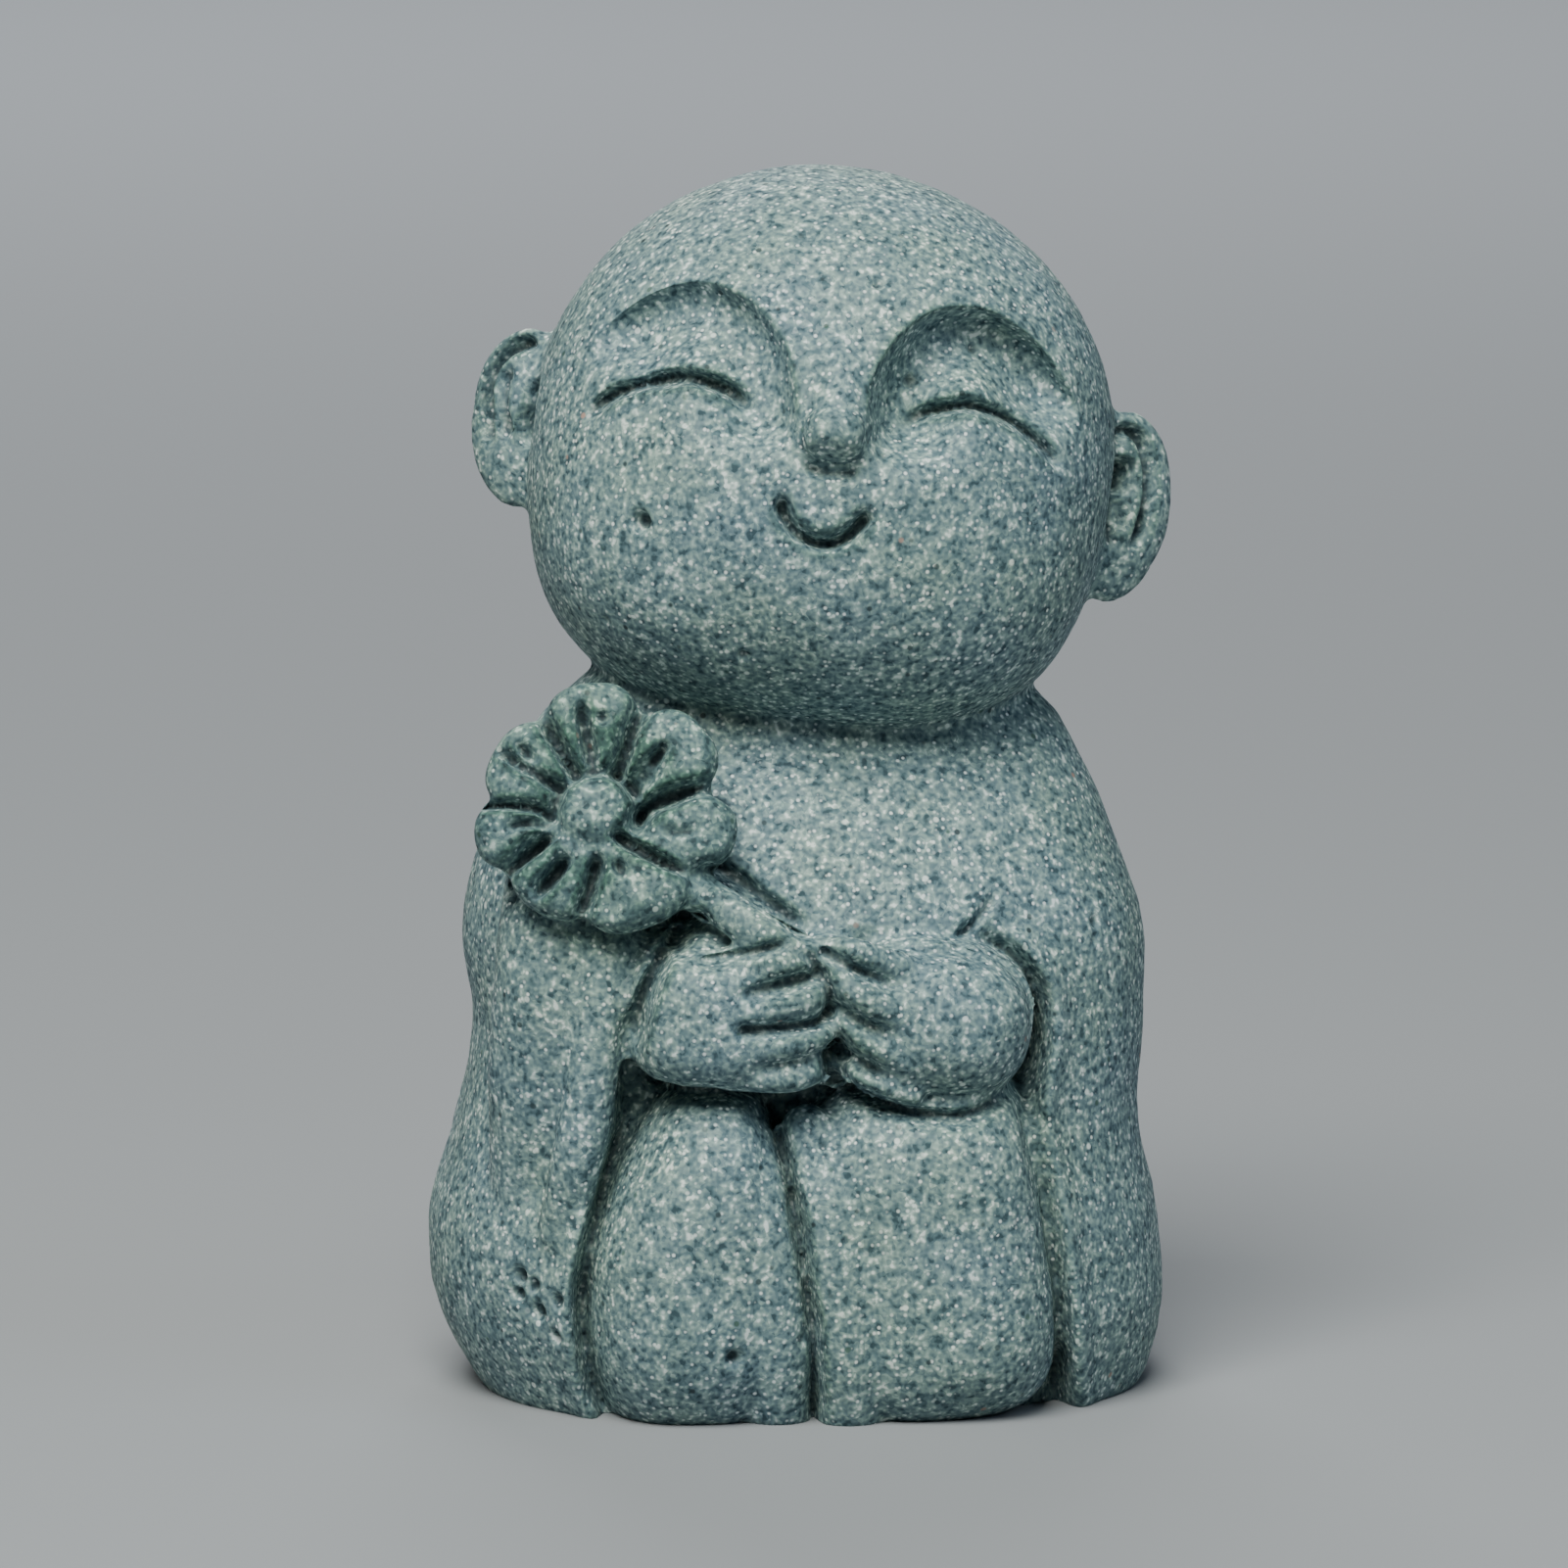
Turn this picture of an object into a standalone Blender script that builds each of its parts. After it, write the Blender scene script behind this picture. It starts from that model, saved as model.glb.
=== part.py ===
"""Cast-stone garden figure: a small round-headed monk, seated on the heels,
holding a flower by its stem.

The figure is one solid casting. It is laid out in millimetres for a figure 84.5 mm
tall, facing -Y, with its base on z = 0, and brought to its real size in metres at
the end. Rounded masses are run together into one skin, the skin is softened as a
worn mould softens it, and the face, ears, fingers and petals are then cut into it.
"""

import math

import bmesh
import bpy
import numpy as np
from mathutils import Euler, Matrix, Vector

# Driving dimensions, in metres
STATUE_HEIGHT = 0.0845
ROBE_WIDTH = 0.0513
ROBE_DEPTH = 0.0418
HEAD_WIDTH = 0.0408
FLOWER_DIAMETER = 0.0184
STEM_DIAMETER = 0.0031
LINE_WIDTH = 0.0006
LINE_DEPTH = 0.0009

# The layout that the proportions were taken from, in millimetres
LAYOUT_HEIGHT = 84.5
LAYOUT_ROBE_WIDTH = 51.3
LAYOUT_ROBE_DEPTH = 41.8
LAYOUT_HEAD_WIDTH = 40.8
LAYOUT_FLOWER_DIAMETER = 18.4
METRES = STATUE_HEIGHT / LAYOUT_HEIGHT

# Skin of the casting, in layout millimetres
SKIN_CELL = 0.45
SKIN_SOFTENING = 4
SKIN_TRIANGLES = 9600
BELOW_BASE = 3.0
ROBE_RINGS = 140
RING_POINTS = 320

NAME = "monk_statue"
STONE_COLOUR = (0.30, 0.38, 0.38, 1.0)
STONE_ROUGHNESS = 0.92

# Robe, as (height, half width or depth) down each side of the figure
ROBE_LEFT = [(-3, 19.8), (0, 22.4), (5, 25.2), (11, 26.0), (18, 24.2), (25, 22.8),
             (32, 23.5), (38, 22.2), (43, 20.0), (47, 17.6), (50, 14.0), (53, 8.5)]
ROBE_RIGHT = [(-3, 21.0), (0, 23.7), (5, 25.3), (11, 25.0), (19, 23.6), (26, 24.0),
              (32, 23.9), (38, 22.0), (43, 19.9), (47, 17.6), (50, 14.0), (53, 8.5)]
ROBE_FRONT = [(-3, 17.5), (0, 19.4), (5, 21.0), (11, 21.4), (20, 19.6), (27, 18.4),
              (33, 17.4), (38, 15.4), (43, 12.4), (47, 9.2), (50, 7.0), (53, 4.5)]
ROBE_BACK = [(-3, 16.5), (0, 18.5), (5, 20.0), (11, 20.4), (20, 18.9), (30, 18.4),
             (36, 17.4), (42, 14.5), (47, 10.8), (50, 8.0), (53, 4.5)]
ROBE_SQUARENESS = 2.35
ROBE_TOP = 53.0

# Edges of the two sleeves, as (height, x), with the hollow that they frame
LIP_LEFT = [(-3, -13.6), (0, -14.8), (2, -15.7), (5, -16.4), (8.5, -16.7), (12, -16.1), (16, -15.1),
            (20, -14.0), (27, -13.5), (31.5, -12.6), (33.6, -11.4), (38, -8.5)]
LIP_RIGHT = [(-3, 17.6), (0, 17.3), (6, 16.8), (14, 15.8), (21, 14.6), (26, 15.4),
             (30, 14.8), (33, 12.6), (38, 10.0)]
HOLLOW_DEPTH = [(-3, 2.5), (3, 3.6), (12, 4.4), (20, 4.4), (26, 3.8), (31, 2.6), (34, 0.0), (38, 0.0)]
LIP_SOFTNESS = 0.8
LIP_ROLL = 0.9
LIP_ROLL_SET_BACK = 1.1
LIP_ROLL_WIDTH = 0.9
# The forearm under the cloth behind the flower, as (x, y, z, radius) from the elbow down
SLEEVE_ARM = [(-16.6, -8.5, 41.0, 4.0), (-16.9, -12.4, 36.0, 4.6), (-17.5, -13.4, 31.0, 4.8),
              (-18.0, -12.6, 25.0, 4.6), (-18.4, -11.3, 19.0, 4.2), (-18.6, -10.0, 11.0, 3.6)]
# The thick edge of that sleeve beside the hand
SLEEVE_EDGE = [(-13.4, -15.0, 35.5, 1.9), (-14.8, -16.8, 31.5, 2.0), (-15.3, -17.3, 27.0, 2.0),
               (-15.9, -17.2, 22.5, 2.0), (-16.8, -16.8, 18.0, 1.9), (-17.8, -15.6, 13.0, 1.7)]

# Rounded masses of the legs, and of the closed hands and the closed gap between them,
# as centre, radii, turn in degrees, fullness on the level and fullness upright; the
# legs also narrow and lean towards their tops, in shares of their half width
LEGS = [((-8.6, -9.4, 11.3), (8.0, 12.9, 13.1), (0, 0, 0), 2.6, 3.1, 0.46, 0.18),
        ((7.4, -9.4, 11.6), (9.0, 13.0, 12.7), (0, -7.5, 0), 2.9, 3.7, 0.0, 0.0)]
FISTS = [((-6.5, -15.8, 28.2), (7.1, 7.2, 5.1), (0, -1, 0), 3.1, 3.3),
         ((7.6, -15.4, 27.7), (7.2, 7.3, 5.7), (0, 10, 0), 2.4, 2.4),
         ((0.3, -17.4, 28.4), (3.2, 3.5, 5.4), (0, 0, 0), 2.4, 2.4),
         ((-9.0, -14.4, 30.9), (4.2, 5.8, 3.5), (0, -6, 0), 2.6, 2.6)]
# Front edge of each leg beside the parting, as (x, y, z, radius) from the knee down
LEG_EDGES = [
    [(-5.3, -17.2, 19.4, 2.0), (-4.6, -18.8, 15.5, 2.3), (-3.9, -19.3, 10.0, 2.4), (-3.3, -18.6, 4.0, 2.4),
     (-3.0, -16.0, -1.0, 2.4)],
    [(-1.0, -17.8, 20.2, 2.0), (0.1, -19.4, 15.5, 2.4), (0.9, -19.8, 10.0, 2.5), (1.5, -19.2, 4.0, 2.5),
     (1.9, -16.8, -1.0, 2.5)],
]

# Fingers of each hand from the top one down, as (x, y, z) from knuckle to tip, and radius
LEFT_FINGERS = [
    ((-8.2, -19.0, 31.4), (-4.0, -21.3, 32.2), (-1.5, -21.1, 32.3), 1.4),
    ((-6.8, -20.6, 29.0), (-3.4, -22.0, 29.5), (-0.6, -21.4, 30.2), 1.3),
    ((-6.4, -20.8, 26.4), (-3.2, -22.1, 26.8), (-0.1, -21.5, 27.5), 1.3),
    ((-6.6, -20.2, 24.3), (-3.0, -21.6, 24.4), (-0.8, -21.2, 24.8), 1.15),
]
RIGHT_FINGERS = [
    ((5.0, -20.8, 31.8), (1.6, -21.5, 33.0), (-0.2, -20.6, 33.2), 1.1),
    ((5.6, -21.0, 28.0), (2.4, -21.9, 29.9), (0.2, -21.2, 31.4), 1.3),
    ((5.6, -21.0, 25.2), (2.6, -21.6, 26.8), (0.9, -20.9, 28.0), 1.2),
    ((5.8, -20.4, 22.9), (2.9, -20.9, 24.1), (1.1, -20.2, 25.1), 1.0),
]

# Stem, as (x, y, z) from behind the flower down into the hands, and the web that
# joins it to the chest behind, as (x, y, z, radius)
STEM_ROUTE = [(-12.0, -17.0, 38.1), (-8.0, -18.8, 36.4), (-4.0, -20.6, 33.9), (0.6, -21.2, 31.6)]
STEM_WEB = [(-12.5, -13.8, 38.6, 1.9), (-8.0, -16.1, 36.1, 1.6), (-4.5, -18.0, 33.8, 1.6)]

# Flower: where it stands, its pitch and yaw, its disc and its domed centre
FLOWER_PLACE = (-15.0, -18.0, 42.3)
FLOWER_PITCH, FLOWER_YAW = -16, -6
FLOWER_DISC = ((0, 1.5, 0), (7.5, 1.9, 7.3))
FLOWER_CENTRE = 2.6
FLOWER_CENTRE_PLACE = (-0.4, 0.0)
# Petals, as (angle, half angle, reach, lift), angles in degrees counter-clockwise
# from the viewer's right
PETALS = [(-11, 21, 9.3, 0.1), (40, 27, 9.0, 0.2), (97, 28, 9.1, 0.1), (149, 28, 8.7, 0.2),
          (193, 20, 9.0, 0.2), (235, 26, 8.3, 0.3), (292, 34, 8.6, 0.5)]
PETAL_ROOT = 1.9
PETAL_THICKNESS = 2.1
PETAL_FULLNESS = 2.6
# Half width of a petal that spans a half angle of 90 degrees, and the overlap added to each
PETAL_SPAN, PETAL_OVERLAP = 6.3, 0.45
# Veins cut into the petals, as (angle, inner radius, outer radius, width, depth)
VEINS = [(45, 2.4, 6.4, 0.9, 0.9), (102, 2.5, 8.2, 0.5, 1.2), (150, 3.2, 8.2, 0.45, 1.1),
         (141, 5.2, 7.6, 0.4, 0.7), (191, 3.6, 6.6, 0.5, 0.8), (234, 3.8, 7.4, 0.7, 1.5),
         (287, 3.5, 5.0, 0.5, 0.7)]
# Deep lines between one petal and the next, as angles, with their width and depth
PARTINGS = (16, 71, 122, 177, 215, 257, 324)
PARTING_REACH = 8.4
PARTING_WIDTH, PARTING_DEPTH = 0.65, 1.5
# Line round the domed centre: its distance outside the centre, width and depth
RING_OFFSET, RING_WIDTH, RING_DEPTH = 0.2, 0.5, 0.9

# Head: where it stands, how it is tilted, and its half width, depth and height
HEAD_PLACE = (1.6, 0.5, 64.8)
HEAD_PITCH, HEAD_ROLL, HEAD_YAW = -9, 7, -5
HEAD_RADII = (20.4, 19.3, 19.7)
CROWN_FULLNESS = 2.05
CHEEK_FULLNESS = 2.65
# Ridge of the nose in the head's frame, as (x, y, z, radius) from the brows down
NOSE_RIDGE = [(0.4, -16.4, 6.5, 1.9), (0.7, -18.1, 2.8, 2.0), (0.7, -19.2, 0.1, 1.8)]
NOSE_TIP = ((0.7, -19.1, 0.2), (2.15, 2.3, 1.9))
# Ears: lean and splay in degrees, then for each side (-1 is the viewer's left) the
# place on the head, and the centre and radii of the shell and of the lobe
EAR_LEAN, EAR_SPLAY = 3, 28
EARS = {
    -1: ((20.9, 1.0, -0.3), ((0, 0.2, 0), (4.3, 1.9, 6.4)), ((-2.6, 0.4, -4.4), (2.2, 1.6, 2.7))),
    1: ((20.9, 1.0, -1.1), ((0, 0.2, -0.3), (4.2, 1.9, 6.9)), ((-2.7, 0.4, -5.2), (2.2, 1.6, 2.9))),
}


def smooth_read(stations, at):
    """Reads a smooth curve through (position, value) stations at some positions."""
    x, y = np.array(stations, float).T
    slope = np.gradient(y, x)
    at = np.clip(at, x[0], x[-1])
    i = np.clip(np.searchsorted(x, at) - 1, 0, len(x) - 2)
    span = x[i + 1] - x[i]
    t = (at - x[i]) / span
    rise = (2 * t**3 - 3 * t**2 + 1) * y[i] + (3 * t**2 - 2 * t**3) * y[i + 1]
    lean = (t**3 - 2 * t**2 + t) * slope[i] + (t**3 - t**2) * slope[i + 1]
    return rise + lean * span


def smooth_line(points, steps=10):
    """A smooth line through a few points, as an array of closer points."""
    p = np.array(points, float)
    p = np.vstack([2 * p[0] - p[1], p, 2 * p[-1] - p[-2]])
    t = np.linspace(0, 1, steps, endpoint=False)[:, None]
    spans = []
    for a, b, c, d in zip(p, p[1:], p[2:], p[3:]):
        spans.append(0.5 * (2 * b + (c - a) * t + (2 * a - 5 * b + 4 * c - d) * t**2
                            + (3 * b - a - 3 * c + d) * t**3))
    return np.vstack(spans + [p[-2:-1]])


def step(x, start, end):
    """Rises smoothly from 0 at start to 1 at end."""
    t = np.clip((x - start) / (end - start), 0, 1)
    return t * t * (3 - 2 * t)


def basis(origin, right, into, up=(0, 0, 1)):
    """A frame on a surface: x to one side, y into the surface, z up."""
    columns = [Vector(axis).normalized() for axis in (right, into, up)]
    frame = Matrix(columns).transposed().to_4x4()
    frame.translation = Vector(origin)
    return frame


def turned(origin, pitch=0.0, roll=0.0, yaw=0.0):
    """A frame at a point, rolled about its view axis, pitched, then yawed, in degrees."""
    angles = Euler([math.radians(a) for a in (pitch, roll, yaw)], "YXZ")
    return Matrix.Translation(Vector(origin)) @ angles.to_matrix().to_4x4()


def squared(directions, power, upright):
    """Draws unit directions out to a super-ellipsoid, fuller as its powers rise."""
    x, y, z = np.abs(directions).T
    level = (x**power + y**power)**(upright / power)
    size = (level + z**upright)**(1 / upright)
    return directions / size[:, None]


def ball(frame, centre, radii, turn=(0, 0, 0), power=2.0, upright=None, taper=0.0, lean=0.0):
    """A rounded mass: a super-ellipsoid whose upper half may narrow and lean sideways."""
    bpy.ops.mesh.primitive_uv_sphere_add(segments=64, ring_count=40, radius=1.0)
    mass = bpy.context.object
    co = np.array([v.co for v in mass.data.vertices])
    co = squared(co, power, upright or power)
    height = np.maximum(co[:, 2], 0)
    co[:, 0] = co[:, 0] * (1 - taper * height) + lean * height
    mass.data.vertices.foreach_set("co", (co * radii).ravel())
    spin = Euler([math.radians(a) for a in turn]).to_matrix().to_4x4()
    mass.matrix_world = frame @ Matrix.Translation(Vector(centre)) @ spin
    return mass


def limb(frame, points):
    """A round limb along (x, y, z, radius) points, with a ball at each end."""
    line = smooth_line(points)
    curve = bpy.data.curves.new("limb", "CURVE")
    curve.dimensions = "3D"
    curve.bevel_depth = 1.0
    curve.bevel_resolution = 6
    curve.use_fill_caps = True
    spline = curve.splines.new("POLY")
    spline.points.add(len(line) - 1)
    for point, (x, y, z, radius) in zip(spline.points, line):
        point.co = (x, y, z, 1.0)
        point.radius = radius
    drawn = bpy.data.objects.new("limb", curve)
    bpy.context.collection.objects.link(drawn)
    mesh = settled_mesh(drawn)
    bpy.data.objects.remove(drawn)
    mass = bpy.data.objects.new("limb", mesh)
    bpy.context.collection.objects.link(mass)
    mass.matrix_world = frame
    ends = [ball(frame, tuple(line[i][:3]), (line[i][3],) * 3) for i in (0, -1)]
    return [mass] + ends


def settled_mesh(shape):
    """The mesh of an object as its modifiers leave it."""
    graph = bpy.context.evaluated_depsgraph_get()
    mesh = bpy.data.meshes.new_from_object(shape.evaluated_get(graph))
    work = bmesh.new()
    work.from_mesh(mesh)
    bmesh.ops.remove_doubles(work, verts=work.verts, dist=1e-5)
    work.to_mesh(mesh)
    work.free()
    return mesh


def loft(frame, rings):
    """A closed skin through rings of equal point counts, from the lowest up."""
    work = bmesh.new()
    rows = [[work.verts.new(point) for point in ring] for ring in rings]
    count = len(rows[0])
    for low, high in zip(rows, rows[1:]):
        for i in range(count):
            j = (i + 1) % count
            work.faces.new((low[i], low[j], high[j], high[i]))
    work.faces.new(rows[0][::-1])
    work.faces.new(rows[-1])
    mesh = bpy.data.meshes.new("loft")
    work.to_mesh(mesh)
    work.free()
    mass = bpy.data.objects.new("loft", mesh)
    bpy.context.collection.objects.link(mass)
    mass.matrix_world = frame
    return mass


def robe(frame):
    """The robe from the base to the neck, hollowed in front between its sleeves."""
    angle = np.linspace(0, 2 * math.pi, RING_POINTS, endpoint=False)
    c, s = np.cos(angle), np.sin(angle)
    share = 2 / ROBE_SQUARENESS
    rings = []
    for z in np.linspace(-BELOW_BASE, ROBE_TOP, ROBE_RINGS):
        wide = np.where(c < 0, smooth_read(ROBE_LEFT, z), smooth_read(ROBE_RIGHT, z))
        deep = np.where(s < 0, smooth_read(ROBE_FRONT, z), smooth_read(ROBE_BACK, z))
        x = np.sign(c) * np.abs(c)**share * wide
        y = np.sign(s) * np.abs(s)**share * deep
        left, right = smooth_read(LIP_LEFT, z), smooth_read(LIP_RIGHT, z)
        hollow = max(smooth_read(HOLLOW_DEPTH, z), 0.0)
        inside = step(x, left - LIP_SOFTNESS, left + LIP_SOFTNESS)
        inside = inside * (1 - step(x, right - LIP_SOFTNESS, right + LIP_SOFTNESS))
        roll = np.exp(-((x - left + LIP_ROLL_SET_BACK) / LIP_ROLL_WIDTH)**2)
        roll = roll + np.exp(-((x - right - LIP_ROLL_SET_BACK) / LIP_ROLL_WIDTH)**2)
        front = (s < 0) * min(hollow, 1.0)
        y = y + (s < 0) * hollow * inside - front * LIP_ROLL * roll
        rings.append([(px, py, z) for px, py in zip(x, y)])
    return [loft(frame, rings)] + limb(frame, SLEEVE_ARM) + limb(frame, SLEEVE_EDGE)


def legs(frame):
    """Two upright rounded masses: the knees under the cloth, side by side."""
    masses = [ball(frame, *leg) for leg in LEGS]
    for edge in LEG_EDGES:
        masses += limb(frame, edge)
    return masses


def hands(frame):
    """The two closed hands, which come out of the sleeves and meet on the stem."""
    masses = [ball(frame, *fist) for fist in FISTS]
    for *joints, radius in LEFT_FINGERS + RIGHT_FINGERS:
        masses += limb(frame, [(*joint, radius) for joint in joints])
    return masses


def flower(frame):
    """Seven petals round a domed centre, on a thick disc."""
    x, z = FLOWER_CENTRE_PLACE
    masses = [ball(frame, *FLOWER_DISC, power=2.4),
              ball(frame, (x, -0.4, z), (FLOWER_CENTRE, 1.9, FLOWER_CENTRE), power=2.3)]
    for angle, half, reach, lift in PETALS:
        ray = frame @ Matrix.Rotation(math.radians(-angle), 4, "Y")
        length = (reach - PETAL_ROOT) / 2
        width = PETAL_SPAN * math.sin(math.radians(half)) + PETAL_OVERLAP
        place = (PETAL_ROOT + length, 0.9 - lift, 0)
        masses.append(ball(ray, place, (length, PETAL_THICKNESS, width), power=PETAL_FULLNESS))
    return masses


def stem(frame):
    """The stem from behind the flower down into the hands."""
    radius = STEM_DIAMETER / METRES / 2
    return limb(frame, [(*point, radius) for point in STEM_ROUTE]) + limb(frame, STEM_WEB)


def head(frame):
    """The round head, fuller at the cheeks than at the crown, with a small nose."""
    bpy.ops.mesh.primitive_uv_sphere_add(segments=128, ring_count=96, radius=1.0)
    mass = bpy.context.object
    co = np.array([v.co for v in mass.data.vertices])
    power = CROWN_FULLNESS + (CHEEK_FULLNESS - CROWN_FULLNESS) * step(-co[:, 2], -0.2, 0.7)
    co = squared(co, power, power) * HEAD_RADII
    mass.data.vertices.foreach_set("co", co.ravel())
    mass.matrix_world = frame
    masses = [mass] + limb(frame, NOSE_RIDGE) + [ball(frame, *NOSE_TIP, power=2.8)]
    for side, (_, shell, lobe) in EARS.items():
        place = ear_frame(frame, side)
        masses.append(ball(place, *shell))
        masses.append(ball(place, *lobe))
    return masses


def ear_frame(frame, side):
    """A frame on the face of one ear, x pointing away from the head."""
    lean, splay = math.radians(EAR_LEAN), math.radians(EAR_SPLAY)
    out = Vector((side * math.cos(splay), math.sin(splay), 0))
    into = (-side * math.sin(splay), math.cos(splay), 0)
    up = Vector((0, 0, 1))
    right = out * math.cos(lean) - up * math.sin(lean)
    up = up * math.cos(lean) + out * math.sin(lean)
    x, y, z = EARS[side][0]
    return frame @ basis((side * x, y, z), right, into, up)


def joined(masses, name):
    """One object that holds every mass, in world space."""
    work = bmesh.new()
    for mass in masses:
        mesh = mass.data.copy()
        mesh.transform(mass.matrix_world)
        if mass.matrix_world.determinant() < 0:
            mesh.flip_normals()
        work.from_mesh(mesh)
        bpy.data.meshes.remove(mesh)
        bpy.data.objects.remove(mass)
    mesh = bpy.data.meshes.new(name)
    work.to_mesh(mesh)
    work.free()
    whole = bpy.data.objects.new(name, mesh)
    bpy.context.collection.objects.link(whole)
    return whole


def one_skin(shape, cell, softening):
    """Runs the masses of a shape together into one soft skin."""
    remesh = shape.modifiers.new("one skin", "REMESH")
    remesh.mode = "VOXEL"
    remesh.voxel_size = cell
    worn = shape.modifiers.new("worn", "SMOOTH")
    worn.factor = 0.5
    worn.iterations = softening
    shape.data = settled_mesh(shape)
    shape.modifiers.clear()


def thinned(shape, triangles):
    """Thins a skin to a number of triangles, most where the form turns most."""
    thin = shape.modifiers.new("thin", "DECIMATE")
    faces = sum(len(face.vertices) - 2 for face in shape.data.polygons)
    thin.ratio = min(1.0, triangles / faces)
    shape.data = settled_mesh(shape)
    shape.modifiers.clear()


def cut_flat(shape):
    """Cuts the casting flat at z = 0 and closes its underside."""
    work = bmesh.new()
    work.from_mesh(shape.data)
    everything = work.verts[:] + work.edges[:] + work.faces[:]
    cut = bmesh.ops.bisect_plane(work, geom=everything, dist=1e-4, plane_co=(0, 0, 0),
                                 plane_no=(0, 0, 1), clear_inner=True)
    rim = [item for item in cut["geom_cut"] if isinstance(item, bmesh.types.BMEdge)]
    bmesh.ops.holes_fill(work, edges=rim)
    bmesh.ops.triangulate(work, faces=work.faces[:])
    bmesh.ops.recalc_face_normals(work, faces=work.faces[:])
    work.to_mesh(shape.data)
    work.free()


class Skin:
    """The points of a mesh and their normals, while cuts are made into them."""

    def __init__(self, mesh):
        self.mesh = mesh
        flat = np.empty(len(mesh.vertices) * 3, np.float32)
        mesh.vertices.foreach_get("co", flat)
        self.points = flat.reshape(-1, 3).astype(float)
        mesh.vertex_normals.foreach_get("vector", flat)
        self.normals = flat.reshape(-1, 3).astype(float)

    def facing(self, frame, reach, low, high):
        """Points that face a frame, within reach of its plane and between two corners."""
        inverse = np.array(frame.inverted())
        local = self.points @ inverse[:3, :3].T + inverse[:3, 3]
        into = np.array(frame.to_3x3().col[1].normalized())
        turned_to = -self.normals @ into
        near = (np.abs(local[:, 1]) < reach) & (turned_to > 0.05)
        near &= ((local[:, (0, 2)] > low) & (local[:, (0, 2)] < high)).all(axis=1)
        index = np.nonzero(near)[0]
        return index, local[index][:, (0, 2)], step(turned_to[index], 0.05, 0.3)

    def push(self, index, frame, depth):
        """Moves points into the surface along the frame's y, by depths in its units."""
        self.points[index] += depth[:, None] * np.array(frame.to_3x3().col[1])

    def groove(self, frame, line, width, depth, reach=8.0, taper=0.15):
        """Cuts a rounded groove along a line of (x, z) points in the frame."""
        route = smooth_line(line)
        low, high = route.min(axis=0) - 3 * width, route.max(axis=0) + 3 * width
        index, places, facing = self.facing(frame, reach, low, high)
        away, _, share = distance_to(route, places)
        ends = step(np.minimum(share, 1 - share), -0.02, taper)
        self.push(index, frame, depth * ends * facing * np.exp(-2.2 * (away / width)**2))

    def store(self):
        """Writes the cut points back to the mesh."""
        self.mesh.vertices.foreach_set("co", self.points.astype(np.float32).ravel())
        self.mesh.update()


def distance_to(route, places):
    """Distance from places to a line, the side they lie on, and how far along."""
    start, end = route[:-1], route[1:]
    run = end - start
    length = np.linalg.norm(run, axis=1)
    before = np.concatenate([[0], np.cumsum(length)])
    best = np.full(len(places), np.inf)
    side = np.zeros(len(places))
    share = np.zeros(len(places))
    for a, d, size, done in zip(start, run, length, before):
        offset = places - a
        t = np.clip(offset @ d / size**2, 0, 1)
        gap = np.linalg.norm(offset - t[:, None] * d, axis=1)
        closer = gap < best
        best[closer] = gap[closer]
        side[closer] = np.sign(d[0] * offset[closer, 1] - d[1] * offset[closer, 0])
        share[closer] = (done + t[closer] * size) / before[-1]
    return best, side, share


# Lines of the face in the head's frame, as (x, z), for each side (-1 is the viewer's left)
BROWS = {
    -1: [(-17.6, 2.6), (-16.6, 4.7), (-15.2, 6.6), (-13.1, 8.3), (-9.9, 9.6), (-7.2, 9.2), (-5.0, 7.8),
         (-3.6, 6.1), (-2.6, 3.9), (-2.0, 1.2), (-1.5, -1.8)],
    1: [(18.0, 1.8), (17.4, 3.7), (15.9, 6.2), (13.6, 8.5), (11.2, 9.8), (8.7, 10.1), (6.6, 9.5),
        (4.8, 7.9), (3.5, 5.7), (2.9, 3.2), (2.9, 0.6), (3.1, -2.0)],
}
BROW_DEPTH = {-1: 1.9, 1: 2.4}
BROW_BEVEL = 1.7
BROW_FADE = 7.0
EYES = {
    -1: [(-16.4, -0.7), (-14.9, 0.9), (-13.0, 2.0), (-11.1, 2.7), (-9.4, 2.9), (-7.8, 2.7), (-6.4, 2.2),
         (-4.6, 1.0)],
    1: [(5.0, 1.4), (6.6, 2.5), (7.9, 3.0), (9.5, 3.4), (11.5, 3.1), (13.0, 2.5), (14.6, 1.5),
        (16.6, -0.2)],
}
SMILE = [(-2.3, -4.5), (-2.0, -5.5), (-1.2, -6.5), (0.1, -7.1), (1.4, -7.1), (2.5, -6.4), (3.3, -5.4),
         (3.7, -4.6)]
NOSE_BASE = [(-1.3, -2.1), (0.7, -2.3), (2.7, -2.0)]


def cut_face(skin, frame):
    """Cuts the brow arches, closed eyes, nose and smile into the head."""
    width, depth = LINE_WIDTH / METRES, LINE_DEPTH / METRES
    for side in (-1, 1):
        arch = smooth_line(BROWS[side])
        index, places, facing = skin.facing(frame, 24.0, (-20, -6), (20, 14))
        away, turn, share = distance_to(arch, places)
        inside = away * turn * side
        ledge = step(inside, -0.2, BROW_BEVEL) * (1 - step(inside, BROW_BEVEL, BROW_FADE))
        ends = step(share, 0.0, 0.2) * (1 - step(share, 0.85, 1.0))
        skin.push(index, frame, BROW_DEPTH[side] * ledge * ends * facing)
        skin.groove(frame, EYES[side], width, depth, reach=24.0)
    skin.groove(frame, SMILE, width, depth * 1.1, reach=24.0, taper=0.08)
    skin.groove(frame, NOSE_BASE, width, depth, reach=24.0, taper=0.2)


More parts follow.
